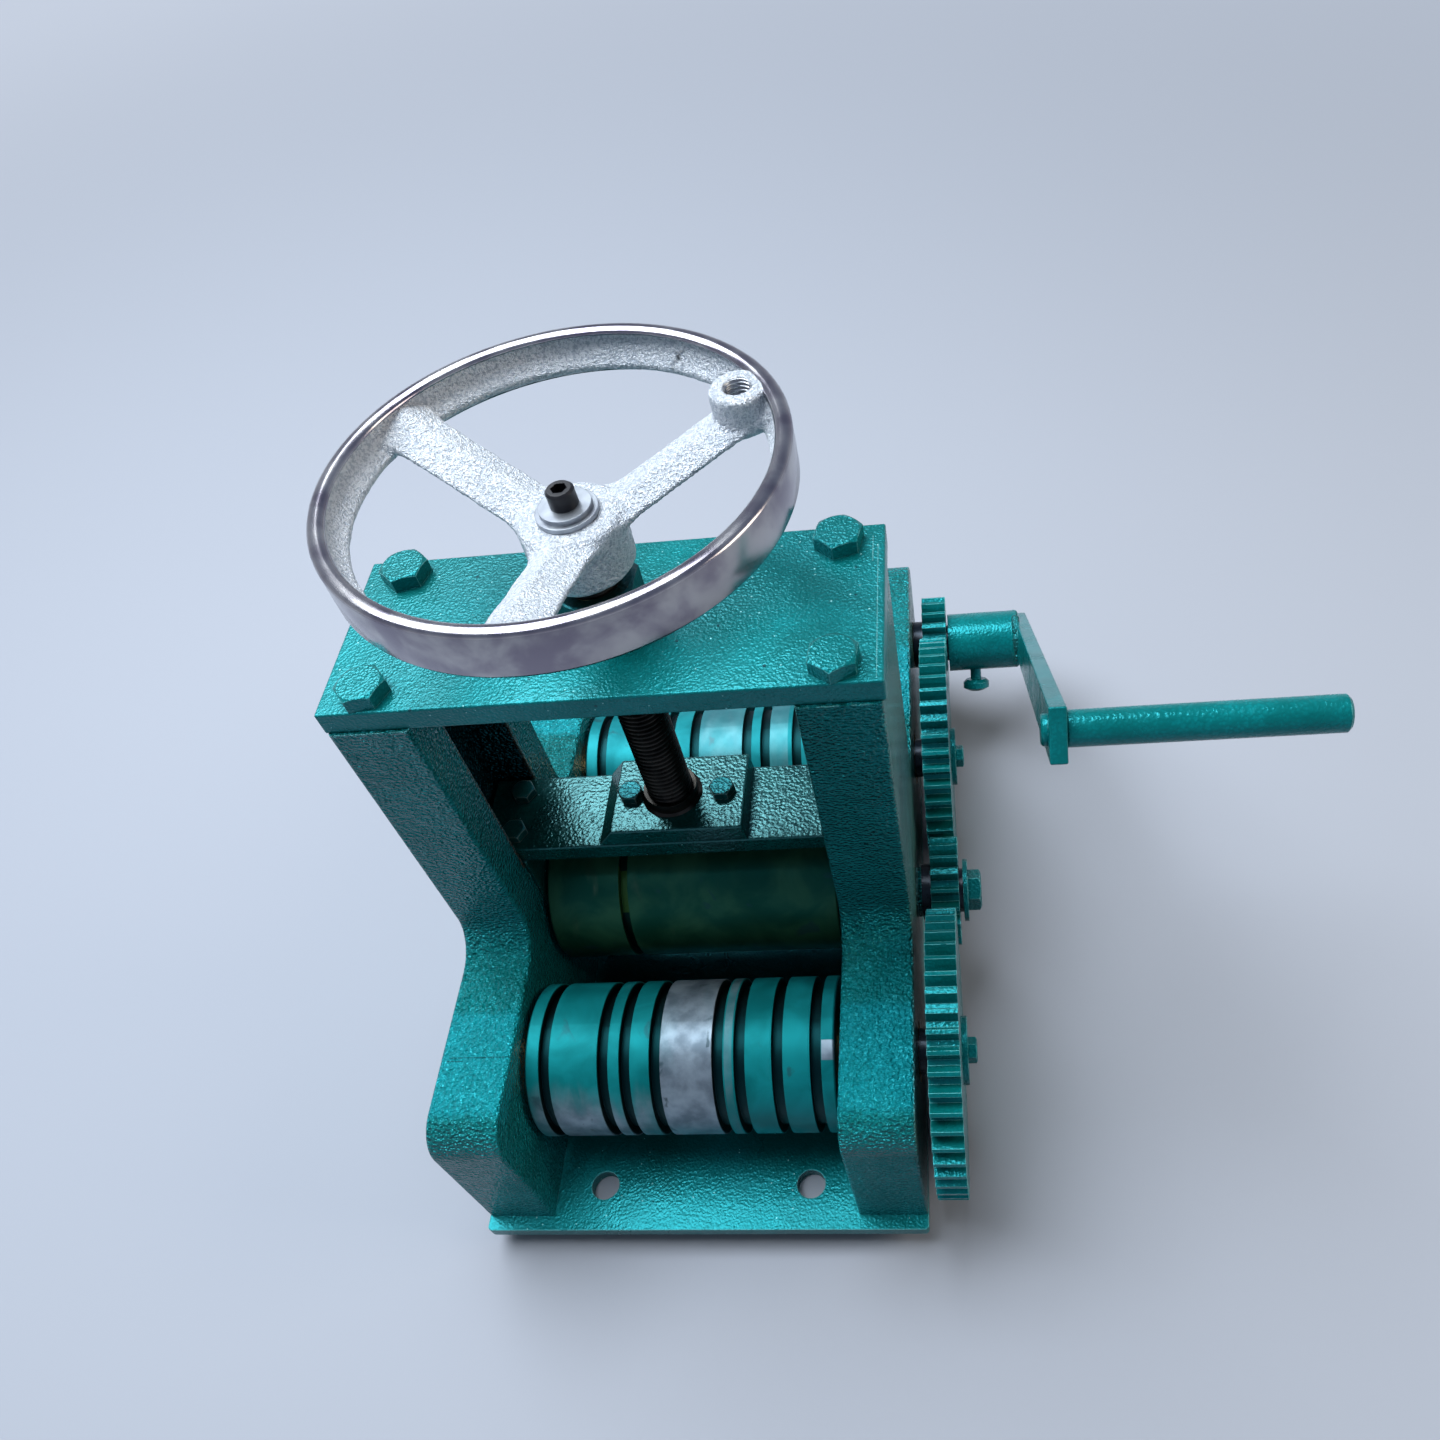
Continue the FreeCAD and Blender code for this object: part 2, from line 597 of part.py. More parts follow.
# ---- idler on its stud ----
def idler_set():
    half_pitch = math.pi / PINION_TEETH
    bore = IDLER_SLEEVE_RADIUS + RUNNING_FIT
    washer_end = IDLER_SLEEVE_END_X + IDLER_WASHER_THICKNESS
    stud_bore = IDLER_BOLT_RADIUS + SEAT_FIT
    stud_length = washer_end - POCKET_X - SIDE_PLAY
    bolt = hex_bolt(IDLER_BOLT_FLATS, IDLER_BOLT_HEAD, IDLER_BOLT_RADIUS, stud_length)
    return {
        "idler_gear": spur_gear(PINION_TEETH, half_pitch, bore, IDLER_X, 0),
        "idler_spacer": ring_x(IDLER_SPACER_RADIUS, stud_bore, (BOSS_END_X, IDLER_SEAT_X), 0, AXLE_Z),
        "idler_sleeve": ring_x(IDLER_SLEEVE_RADIUS, stud_bore, (IDLER_SEAT_X, IDLER_SLEEVE_END_X), 0, AXLE_Z),
        "idler_washer": ring_x(IDLER_WASHER_RADIUS, stud_bore, (IDLER_SLEEVE_END_X, washer_end), 0, AXLE_Z),
        "idler_bolt": aimed(bolt, Vector(washer_end, 0, AXLE_Z), Vector(1, 0, 0)),
    }


# ---- crank ----
def crank_shaft():
    start = -OUTER_X + SHAFT_END_RECESS
    end = ARM_X - SLEEVE_EMPTY_END
    profile = [
        (start, 0),
        (start, SHAFT_RADIUS - SHAFT_CHAMFER),
        (start + SHAFT_CHAMFER, SHAFT_RADIUS),
        (end - SHAFT_CHAMFER, SHAFT_RADIUS),
        (end, SHAFT_RADIUS - SHAFT_CHAMFER),
        (end, 0),
    ]
    key_seat = key_x(SHAFT_RADIUS, gear_key_span(), CRANK_Y, SEAT_FIT)
    return turned_x(profile, CRANK_Y, AXLE_Z).cut(key_seat)


def crank_sleeve():
    bore = SHAFT_RADIUS + SEAT_FIT
    profile = [
        (SLEEVE_X, bore),
        (SLEEVE_X, SLEEVE_RADIUS),
        (ARM_X - WELD_SIZE, SLEEVE_RADIUS),
        (ARM_X, SLEEVE_RADIUS + WELD_SIZE),
        (ARM_X, bore),
    ]
    sleeve = turned_x(profile, CRANK_Y, AXLE_Z)
    weld_x = (ARM_X - 2 * WELD_SIZE, ARM_X + OVERCUT)
    half = ARM_WIDTH / 2
    over_arm = box(weld_x, (-half, half), (-ARM_CENTRES, ARM_CENTRES))
    over_arm.Placement = Placement(Vector(0, CRANK_Y, AXLE_Z), Rotation(Vector(0, 0, 1), ARM_DIRECTION))
    plain = rod_x(SLEEVE_RADIUS, (SLEEVE_X - OVERCUT, ARM_X), CRANK_Y, AXLE_Z)
    sleeve = sleeve.common(over_arm.fuse(plain))
    hole = Part.makeCylinder(CLAMP_SCREW_RADIUS + RUNNING_FIT, SLEEVE_RADIUS + WELD_SIZE)
    return sleeve.cut(aimed(hole, Vector(CLAMP_X, CRANK_Y, AXLE_Z), CLAMP_DIRECTION))


def crank_arm():
    half = ARM_WIDTH / 2
    bar = box((ARM_X, ARM_END_X), (-half, half), (-ARM_INNER_END, ARM_CENTRES + ARM_OUTER_END))
    bar = bar.makeFillet(BAR_EDGE, bar.Edges)
    bar.Placement = Placement(Vector(0, CRANK_Y, AXLE_Z), Rotation(Vector(0, 0, 1), ARM_DIRECTION))
    return bar.cut(rod_x(PIN_RADIUS + SEAT_FIT, (ARM_X - OVERCUT, ARM_END_X + OVERCUT), GRIP_Y, GRIP_Z))


def grip_pin():
    head = ARM_X - PIN_HEAD_HEIGHT
    crown = PIN_HEAD_HEIGHT / 3
    end = ARM_END_X + PIN_IN_GRIP
    profile = [
        (head, 0),
        (head, PIN_HEAD_RADIUS - crown),
        (head + crown, PIN_HEAD_RADIUS),
        (ARM_X, PIN_HEAD_RADIUS),
        (ARM_X, PIN_RADIUS),
        (end, PIN_RADIUS),
        (end, 0),
    ]
    return turned_x(profile, GRIP_Y, GRIP_Z)


def crank_grip():
    start = ARM_END_X + SIDE_PLAY
    end = start + GRIP_LENGTH
    bore = PIN_RADIUS + RUNNING_FIT
    bore_end = ARM_END_X + PIN_IN_GRIP + DRILL_TIP
    profile = [
        (start, bore),
        (start, GRIP_RADIUS - GRIP_END_ROUND / 2),
        (start + GRIP_END_ROUND / 2, GRIP_RADIUS),
        (end - GRIP_END_ROUND, GRIP_RADIUS),
        (end, GRIP_RADIUS - GRIP_END_ROUND),
        (end, 0),
        (bore_end, 0),
        (bore_end, bore),
    ]
    return turned_x(profile, GRIP_Y, GRIP_Z)


def clamp_screw():
    """Mushroom-headed thumb screw that holds the sleeve on the crank shaft."""
    tip = SHAFT_RADIUS + SIDE_PLAY
    head_end = SLEEVE_RADIUS + CLAMP_HEAD_REACH
    head_start = head_end - CLAMP_HEAD_HEIGHT
    edge = CLAMP_HEAD_HEIGHT / 4
    stem = Part.makeCylinder(CLAMP_SCREW_RADIUS, head_start - tip, Vector(0, 0, tip))
    radius = CLAMP_HEAD_RADIUS
    lower = Part.makeCone(radius - edge, radius, edge, Vector(0, 0, head_start))
    side = Part.makeCylinder(radius, CLAMP_HEAD_HEIGHT - 2 * edge, Vector(0, 0, head_start + edge))
    crown = Part.makeCone(radius, radius - 2 * edge, edge, Vector(0, 0, head_end - edge))
    screw = stem.fuse([lower, side, crown]).removeSplitter()
    return aimed(screw, Vector(CLAMP_X, CRANK_Y, AXLE_Z), CLAMP_DIRECTION)


def crank_set():
    spacer_span = (OUTER_X + SIDE_PLAY, GEAR_X)
    collar_end = INNER_X - SIDE_PLAY
    collar_span = (collar_end - CRANK_COLLAR_WIDTH, collar_end)
    seat = SHAFT_RADIUS + SEAT_FIT
    return {
        "crank_shaft": crank_shaft(),
        "crank_pinion": keyed_gear(PINION_TEETH, 0, SHAFT_RADIUS, CRANK_Y),
        "pinion_key": key_x(SHAFT_RADIUS, gear_key_span(), CRANK_Y),
        "crank_spacer": ring_x(CRANK_SPACER_RADIUS, seat, spacer_span, CRANK_Y, AXLE_Z),
        "crank_collar": ring_x(CRANK_COLLAR_RADIUS, seat, collar_span, CRANK_Y, AXLE_Z),
        "crank_sleeve": crank_sleeve(),
        "crank_arm": crank_arm(),
        "grip_pin": grip_pin(),
        "crank_grip": crank_grip(),
        "clamp_screw": clamp_screw(),
    }


# ---- yoke ----
def block_bolt_places():
    x = BLOCK_X + BLOCK_BOLT_INSET
    return [(side * x, end * BLOCK_BOLT_HALF_SPACING) for side in SIDES for end in SIDES]


def keeper_bolt_places():
    half = KEEPER_BOLT_SPACING / 2
    return [(KEEPER_BOLT_SHIFT + side * half, 0) for side in SIDES]


def crossbar():
    half_length = POCKET_X - CROSSBAR_END_GAP
    bar = box(
        (-half_length, half_length),
        (-CROSSBAR_HALF_DEPTH, CROSSBAR_HALF_DEPTH),
        (CROSSBAR_Z, KEEPER_Z),
    )
    bar = bar.makeFillet(BAR_EDGE, bar.Edges)
    span = (CROSSBAR_Z - OVERCUT, KEEPER_Z + OVERCUT)
    for x, y in block_bolt_places():
        bar = bar.cut(rod_z(BLOCK_BOLT_RADIUS + BOLT_HOLE_PLAY, span, x, y))
    for x, y in keeper_bolt_places():
        bar = bar.cut(rod_z(BLOCK_BOLT_RADIUS + SEAT_FIT, span, x, y))
    return bar


def sliding_block(side):
    span = sorted((side * BLOCK_X, side * BLOCK_END_X))
    block = box(span, (-BLOCK_HALF_DEPTH, BLOCK_HALF_DEPTH), (BLOCK_FOOT_Z, CROSSBAR_Z))
    block = block.makeFillet(BAR_EDGE, block.Edges)
    bush_span = (span[0] - OVERCUT, span[1] + OVERCUT)
    block = block.cut(rod_x(BUSH_RADIUS + SEAT_FIT, bush_span, 0, PRESSURE_Z))
    tapped_span = (KEEPER_Z - BLOCK_BOLT_LENGTH - OVERCUT, CROSSBAR_Z + OVERCUT)
    for x, y in block_bolt_places():
        block = block.cut(rod_z(BLOCK_BOLT_RADIUS + SEAT_FIT, tapped_span, x, y))
    return block


def block_bushes():
    spans = [(side * BLOCK_X, side * BLOCK_END_X) for side in SIDES]
    return Part.makeCompound([ring_x(BUSH_RADIUS, BORE_RADIUS, span, 0, PRESSURE_Z) for span in spans])


def small_bolts(places, z, length):
    bolts = []
    for x, y in places:
        bolt = hex_bolt(BLOCK_BOLT_FLATS, BLOCK_BOLT_HEAD, BLOCK_BOLT_RADIUS, length)
        bolts.append(aimed(bolt, Vector(x, y, z), Vector(0, 0, 1)))
    return Part.makeCompound(bolts)


def keeper():
    """Plate with sloped ends that holds the foot of the screw on the crossbar."""
    half = KEEPER_HALF_LENGTH
    corners = [
        (-half, KEEPER_Z),
        (half, KEEPER_Z),
        (half - KEEPER_SLOPE_RIGHT, KEEPER_TOP_Z),
        (-half + KEEPER_SLOPE_LEFT, KEEPER_TOP_Z),
    ]
    points = [Vector(x, -CROSSBAR_HALF_DEPTH, z) for x, z in corners]
    face = Part.Face(Part.makePolygon(points + points[:1]))
    plate = face.extrude(Vector(0, 2 * CROSSBAR_HALF_DEPTH, 0))
    plate = plate.makeFillet(BAR_EDGE, plate.Edges)
    recess_top = KEEPER_TOP_Z - KEEPER_ROOF
    span = (KEEPER_Z - OVERCUT, KEEPER_TOP_Z + OVERCUT)
    plate = plate.cut(rod_z(FOOT_RADIUS + SIDE_PLAY, (KEEPER_Z - OVERCUT, recess_top), 0, 0))
    plate = plate.cut(rod_z(SCREW_RADIUS + SIDE_PLAY, span, 0, 0))
    for x, y in keeper_bolt_places():
        plate = plate.cut(rod_z(BLOCK_BOLT_RADIUS + BOLT_HOLE_PLAY, span, x, y))
    return plate


def pressure_shaft():
    end = BLOCK_END_X - SHAFT_END_RECESS
    profile = [
        (-end, 0),
        (-end, SHAFT_RADIUS - SHAFT_CHAMFER),
        (-end + SHAFT_CHAMFER, SHAFT_RADIUS),
        (end - SHAFT_CHAMFER, SHAFT_RADIUS),
        (end, SHAFT_RADIUS - SHAFT_CHAMFER),
        (end, 0),
    ]
    return turned_x(profile, 0, PRESSURE_Z)


# ---- pressure screw and handwheel ----
def pressure_screw():
    foot_z = KEEPER_Z + SIDE_PLAY
    foot_top = KEEPER_TOP_Z - KEEPER_ROOF - SIDE_PLAY
    seat_top = HUB_TOP_Z - KEY_END_GAP
    foot = rod_z(FOOT_RADIUS, (foot_z, foot_top), 0, 0)
    thread = rod_z(SCREW_RADIUS, (foot_z, HUB_Z), 0, 0)
    seat = rod_z(WHEEL_SEAT_RADIUS, (HUB_Z - OVERCUT, seat_top), 0, 0)
    hole_span = (wheel_screw_tip() - DRILL_TIP, seat_top + OVERCUT)
    screw_hole = rod_z(WHEEL_SCREW_RADIUS + SEAT_FIT, hole_span, 0, 0)
    return thread.fuse([foot, seat]).cut(screw_hole).cut(wheel_key(SEAT_FIT))


def wheel_screw_tip():
    return HUB_TOP_Z + 2 * WHEEL_WASHER_THICKNESS - WHEEL_SCREW_LENGTH


def wheel_key(play=0.0):
    half = KEY_WIDTH / 2
    middle = HUB_Z + HUB_HEIGHT / 2
    reach = WHEEL_KEY_LENGTH / 2 + play
    return box(
        (-half - play, half + play),
        (WHEEL_SEAT_RADIUS - half - play, WHEEL_SEAT_RADIUS + half + play),
        (middle - reach, middle + reach),
    )


def screw_collar():
    bottom = KEEPER_TOP_Z + SIDE_PLAY
    span = (bottom, bottom + SCREW_COLLAR_HEIGHT)
    return rod_z(SCREW_COLLAR_RADIUS, span, 0, 0).cut(rod_z(SCREW_RADIUS + SEAT_FIT, span, 0, 0))


def wheel_rim():
    """Cast rim: a flat rounded outer band with a coved inner side."""
    top = RIM_Z + RIM_HEIGHT
    inner = RIM_RADIUS - RIM_WIDTH
    lip = RIM_RADIUS - RIM_TOP_WIDTH
    corner = RIM_ROUND * (1 - math.sqrt(0.5))
    lower_start = Vector(RIM_RADIUS - RIM_ROUND, 0, RIM_Z)
    lower_middle = Vector(RIM_RADIUS - corner, 0, RIM_Z + corner)
    lower_end = Vector(RIM_RADIUS, 0, RIM_Z + RIM_ROUND)
    upper_start = Vector(RIM_RADIUS, 0, top - RIM_ROUND)
    upper_middle = Vector(RIM_RADIUS - corner, 0, top - corner)
    upper_end = Vector(RIM_RADIUS - RIM_ROUND, 0, top)
    lip_top = Vector(lip, 0, top)
    inner_foot = Vector(inner, 0, RIM_Z + RIM_INNER_FOOT)
    cove_end = inner_foot + Vector(0, 0, RIM_INNER_WALL)
    chord = cove_end - lip_top
    outwards = Vector(-chord.z, 0, chord.x).normalize()
    cove_middle = lip_top + chord * 0.5 + outwards * RIM_COVE_SAG
    lip_foot = Vector(lip, 0, RIM_Z)
    edges = [
        Part.Arc(lower_start, lower_middle, lower_end).toShape(),
        Part.LineSegment(lower_end, upper_start).toShape(),
        Part.Arc(upper_start, upper_middle, upper_end).toShape(),
        Part.LineSegment(upper_end, lip_top).toShape(),
        Part.Arc(lip_top, cove_middle, cove_end).toShape(),
        Part.LineSegment(cove_end, inner_foot).toShape(),
        Part.LineSegment(inner_foot, lip_foot).toShape(),
        Part.LineSegment(lip_foot, lower_start).toShape(),
    ]
    return Part.Face(Part.Wire(edges)).revolve(Vector(0, 0, 0), Vector(0, 0, 1), 360)


def wheel_spoke(angle):
    """Ridged spoke that rises from the hub to the rim."""
    half = SPOKE_WIDTH / 2
    sections = []
    for radius, rise in ((WHEEL_SEAT_RADIUS + KEY_WIDTH, SPOKE_HUB_RISE),
                         (RIM_RADIUS - RIM_TOP_WIDTH, SPOKE_RIM_RISE)):
        z = HUB_Z + rise
        corners = [
            (-half, z),
            (half, z),
            (half, z + SPOKE_SIDE_HEIGHT),
            (-SPOKE_RIDGE_SHIFT, z + SPOKE_RIDGE_HEIGHT),
            (-half, z + SPOKE_SIDE_HEIGHT),
        ]
        points = [Vector(radius, y, height) for y, height in corners]
        sections.append(Part.makePolygon(points + points[:1]))
    spoke = Part.makeLoft(sections, True)
    spoke.rotate(Vector(0, 0, 0), Vector(0, 0, 1), angle)
    return spoke


def handwheel():
    hub = Part.makeCone(HUB_BOTTOM_RADIUS, HUB_TOP_RADIUS, HUB_HEIGHT, Vector(0, 0, HUB_Z))
    hub = hub.makeFillet(HUB_ROUND, [edge for edge in hub.Edges if edge.Length > 2 * HUB_HEIGHT])
    angle = math.radians(SPOKE_ANGLES[0])
    boss_x = HANDLE_BOSS_ORBIT * math.cos(angle)
    boss_y = HANDLE_BOSS_ORBIT * math.sin(angle)
    boss_top = RIM_Z + RIM_HEIGHT - HANDLE_BOSS_DROP
    boss_span = (boss_top - HANDLE_BOSS_HEIGHT, boss_top)
    boss = rod_z(HANDLE_BOSS_RADIUS, boss_span, boss_x, boss_y)
    wheel = wheel_rim().fuse([hub, boss] + [wheel_spoke(spoke) for spoke in SPOKE_ANGLES])
    bore_span = (HUB_Z - OVERCUT, HUB_TOP_Z + OVERCUT)
    wheel = wheel.cut(rod_z(WHEEL_SEAT_RADIUS + SEAT_FIT, bore_span, 0, 0))
    keyway_half = KEY_WIDTH / 2 + SEAT_FIT
    keyway = box((-keyway_half, keyway_half), (0, WHEEL_SEAT_RADIUS + keyway_half), bore_span)
    wheel = wheel.cut(keyway)
    hole_span = (boss_span[0] - HANDLE_BOSS_HEIGHT, boss_span[1] + OVERCUT)
    return wheel.cut(rod_z(HANDLE_HOLE_RADIUS, hole_span, boss_x, boss_y))


def wheel_washer(radius, layer):
    bottom = HUB_TOP_Z + layer * WHEEL_WASHER_THICKNESS
    span = (bottom, bottom + WHEEL_WASHER_THICKNESS)
    return rod_z(radius, span, 0, 0).cut(rod_z(WHEEL_SCREW_RADIUS + BOLT_HOLE_PLAY, span, 0, 0))


def wheel_screw():
    """Socket-headed cap screw on top of the hub."""
    seat = HUB_TOP_Z + 2 * WHEEL_WASHER_THICKNESS
    top = seat + WHEEL_SCREW_HEAD_HEIGHT
    head = rod_z(WHEEL_SCREW_HEAD_RADIUS, (seat, top), 0, 0)
    rims = [edge for edge in head.Edges if edge.BoundBox.ZMin > seat]
    head = head.makeChamfer(SHAFT_CHAMFER, [edge for edge in rims if edge.BoundBox.ZLength < SHAFT_CHAMFER])
    socket = hexagon(WHEEL_SCREW_SOCKET_FLATS, WHEEL_SCREW_SOCKET_DEPTH + OVERCUT)
    socket.translate(Vector(0, 0, top - WHEEL_SCREW_SOCKET_DEPTH))
    shank = rod_z(WHEEL_SCREW_RADIUS, (wheel_screw_tip(), seat), 0, 0)
    return head.cut(socket).fuse(shank)


# ---- the whole machine, one entry for each piece or set of equal pieces ----
def all_pieces():
    half_tooth_pitch = math.pi / ROLLER_TEETH
    pieces = {
        "base_plate": base_plate(),
        "left_frame": left_frame(),
        "right_frame": right_frame(),
        "foot_screws": foot_screws(),
        "top_plate": top_plate(),
        "top_plate_bolts": top_plate_bolts(),
        "screw_nut": screw_nut(),
        "roller_bushes": frame_bushes((-ROLLER_Y, ROLLER_Y)),
        "crank_bushes": frame_bushes((CRANK_Y,)),
        "roller_thrust_washers": roller_thrust_washers(),
        "pressure_roller": roller(PRESSURE_GROOVE_CENTRES, PRESSURE_GROOVE_WIDTH, 0, PRESSURE_Z),
        "pressure_shaft": pressure_shaft(),
        "crossbar": crossbar(),
        "left_block": sliding_block(-1),
        "right_block": sliding_block(1),
        "block_bushes": block_bushes(),
        "block_bolts": small_bolts(block_bolt_places(), KEEPER_Z, BLOCK_BOLT_LENGTH),
        "keeper": keeper(),
        "keeper_bolts": small_bolts(keeper_bolt_places(), KEEPER_TOP_Z, KEEPER_BOLT_LENGTH),
        "pressure_screw": pressure_screw(),
        "screw_collar": screw_collar(),
        "handwheel": handwheel(),
        "wheel_key": wheel_key(),
        "wheel_washer_large": wheel_washer(LARGE_WASHER_RADIUS, 0),
        "wheel_washer_small": wheel_washer(SMALL_WASHER_RADIUS, 1),
        "wheel_screw": wheel_screw(),
    }
    pieces.update(geared_roller_set("front", -ROLLER_Y, half_tooth_pitch))
    pieces.update(geared_roller_set("rear", ROLLER_Y, 0))
    pieces.update(idler_set())
    pieces.update(crank_set())
    return pieces


os.makedirs("parts", exist_ok=True)
for name, shape in all_pieces().items():
    shape.exportStep("parts/%s.step" % name)
    print(name, "%d solids, %.1f cm3" % (len(shape.Solids), shape.Volume / 1000))
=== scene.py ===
# %% [markdown]
# # A hand-cranked three-roll tube bender
#
# The construction is already there: every plate, roller, gear and bolt comes from
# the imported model, at its real size. This lesson dresses it. Each surface gets its
# finish, and new pieces show what a plain solid can't show well: the cast handwheel
# with its polished band, the cut threads and the weld on the crank.

import math

import bmesh
import bpy
from mathutils import Matrix, Vector, noise


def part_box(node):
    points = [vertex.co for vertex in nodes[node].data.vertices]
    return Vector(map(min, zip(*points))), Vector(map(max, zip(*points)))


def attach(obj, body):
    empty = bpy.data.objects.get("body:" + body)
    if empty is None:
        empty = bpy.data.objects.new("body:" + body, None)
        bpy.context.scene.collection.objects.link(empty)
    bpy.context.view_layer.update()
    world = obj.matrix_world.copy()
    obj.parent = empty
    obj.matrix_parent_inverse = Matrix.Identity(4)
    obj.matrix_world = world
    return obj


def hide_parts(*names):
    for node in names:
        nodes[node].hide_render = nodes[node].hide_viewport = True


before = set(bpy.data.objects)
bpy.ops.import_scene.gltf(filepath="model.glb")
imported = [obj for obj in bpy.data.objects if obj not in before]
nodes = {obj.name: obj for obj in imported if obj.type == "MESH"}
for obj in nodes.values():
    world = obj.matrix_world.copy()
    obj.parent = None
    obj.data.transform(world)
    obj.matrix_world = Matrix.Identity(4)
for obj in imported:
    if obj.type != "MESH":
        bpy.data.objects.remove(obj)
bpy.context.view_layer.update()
MM = 0.001
print("nodes in the frame:", len(nodes))


# %% [markdown]
# ## Places that the model already knows
#
# Nothing here is measured again. A new piece takes its place from the box of the
# solid that it dresses, so it still fits if the solid changes.

# %% Places read from the frame
def corners_of(node):
    low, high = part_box(node)
    return Vector(low), Vector(high)


def middle_of(node):
    low, high = corners_of(node)
    return (low + high) / 2


wheel_low, wheel_high = corners_of("handwheel")
screw_low, screw_high = corners_of("pressure_screw")
collar_low, collar_high = corners_of("screw_collar")
base_low, base_high = corners_of("base_plate")
arm_low = corners_of("crank_arm")[0]
sleeve_middle = middle_of("crank_sleeve")
print("handwheel from z", round(wheel_low.z, 4), "to", round(wheel_high.z, 4))


# %% [markdown]
# ## Camera
#
# The machine is seen from in front and well above, a little from the gear side.
# The camera is turned in three steps: about the vertical, then its tilt, then its
# roll about its own line of sight. A small shift of the lens centres the view.

# %% Camera
CAMERA_PLACE = Vector((130.33, -315.18, 539.7)) * MM
CAMERA_AZIMUTH = math.radians(11.89)
CAMERA_TILT = math.radians(38.58)
CAMERA_ROLL = math.radians(-12.24)
CAMERA_LENS = 29.669
CAMERA_SENSOR = 36.0
CAMERA_SHIFT = (-0.0679, 0.0490)
CAMERA_NEAREST = 0.01


def in_scene(name, data):
    thing = bpy.data.objects.new(name, data)
    bpy.context.scene.collection.objects.link(thing)
    return thing


camera_data = bpy.data.cameras.new("camera")
camera_data.lens = CAMERA_LENS
camera_data.sensor_width = CAMERA_SENSOR
camera_data.shift_x, camera_data.shift_y = CAMERA_SHIFT
camera_data.clip_start = CAMERA_NEAREST
camera = in_scene("camera", camera_data)
turn = Matrix.Rotation(CAMERA_AZIMUTH, 4, "Z") @ Matrix.Rotation(CAMERA_TILT, 4, "X")
roll = Matrix.Rotation(CAMERA_ROLL, 4, "Z")
camera.matrix_world = Matrix.Translation(CAMERA_PLACE) @ turn @ roll
bpy.context.scene.camera = camera
bpy.context.scene.view_settings.view_transform = "Standard"
print("camera at", [round(value, 3) for value in camera.matrix_world.translation])


# %% [markdown]
# ## Building shader nodes with few lines
#
# A material is a tree of nodes. `put` adds one node, sets its options and fills its
# inputs: a plain value is written on the socket, an output of another node is linked.

# %% Node helpers
def put(tree, kind, inputs=None, **settings):
    node = tree.nodes.new(kind)
    for name, value in settings.items():
        setattr(node, name, value)
    for key, value in (inputs or {}).items():
        socket = node.inputs[key]
        if isinstance(value, bpy.types.NodeSocket):
            tree.links.new(value, socket)
        else:
            socket.default_value = value
    return node


def math_node(tree, operation, first, second):
    return put(tree, "ShaderNodeMath", {0: first, 1: second}, operation=operation).outputs[0]


def scale_and_add(tree, value, factor, offset):
    inputs = {0: value, 1: factor, 2: offset}
    return put(tree, "ShaderNodeMath", inputs, operation="MULTIPLY_ADD").outputs[0]


def vector_node(tree, operation, first, second=None):
    inputs = {0: first} if second is None else {0: first, 1: second}
    return put(tree, "ShaderNodeVectorMath", inputs, operation=operation).outputs


def ramp(tree, value, low, high):
    """A smooth step of a value: 0 at low, 1 at high, which may lie below low."""
    node = put(tree, "ShaderNodeMapRange", {"Value": value, "From Min": low, "From Max": high})
    node.interpolation_type = "SMOOTHSTEP"
    return node.outputs["Result"]


# %% [markdown]
# The Mix node keeps a set of sockets for each kind of data. Its colour sockets are
# numbers 6 and 7, and its colour output is number 2, so they are named here once.
# Noise reads Object coordinates: a pattern then sticks to its piece when it moves.

# %% Colours and noise
MIX_FIRST, MIX_SECOND, MIX_RESULT = 6, 7, 2


def blend_colours(tree, mask, first, second):
    """The first colour where the mask is 0, the second where it is 1."""
    inputs = {"Factor": mask}
    for index, colour in ((MIX_FIRST, first), (MIX_SECOND, second)):
        linked = isinstance(colour, bpy.types.NodeSocket)
        inputs[index] = colour if linked else (*colour, 1.0)
    return put(tree, "ShaderNodeMix", inputs, data_type="RGBA").outputs[MIX_RESULT]


def object_place(tree):
    return put(tree, "ShaderNodeTexCoord").outputs["Object"]


def object_noise(tree, scale, detail=3.0, distortion=0.0, stretch=None):
    """Noise in the piece's own metres, so scale is in lumps per metre."""
    place = object_place(tree)
    if stretch:
        place = put(tree, "ShaderNodeMapping", {"Vector": place, "Scale": stretch}).outputs[0]
    inputs = {"Vector": place, "Scale": scale, "Detail": detail, "Distortion": distortion}
    return put(tree, "ShaderNodeTexNoise", inputs).outputs["Fac"]


# %% [markdown]
# ## Effects that many finishes share
#
# An effect that more than one material needs is built once, as a node group with
# named sockets. Each material then places it with values of its own.

# %% Shader groups
def new_group(name, inputs, outputs):
    """An empty shader group with named sockets, its input node and its output node.

    An input that is given three numbers is a vector, and one number a plain value."""
    group = bpy.data.node_groups.new(name, "ShaderNodeTree")
    for label, default in inputs.items():
        kind = "NodeSocketVector" if isinstance(default, tuple) else "NodeSocketFloat"
        socket = group.interface.new_socket(label, in_out="INPUT", socket_type=kind)
        socket.default_value = default
    for label, kind in outputs.items():
        group.interface.new_socket(label, in_out="OUTPUT", socket_type=kind)
    source = group.nodes.new("NodeGroupInput").outputs
    sink = group.nodes.new("NodeGroupOutput").inputs
    return group, source, sink


def use(tree, group, **values):
    """Place a group in a tree. An underscore in a name stands for a space."""
    node = tree.nodes.new("ShaderNodeGroup")
    node.node_tree = group
    for name, value in values.items():
        node.inputs[name.replace("_", " ")].default_value = value
    return node


# %% [markdown]
# **Cast skin.** Wet sand leaves iron wrinkled, and thick paint rounds the wrinkles
# off. Smooth Voronoi cells give the wrinkles, noise bends them, and broad lumps lie
# under both. A Flow above 1 squeezes them in Z, so they lie flat across a tall frame.

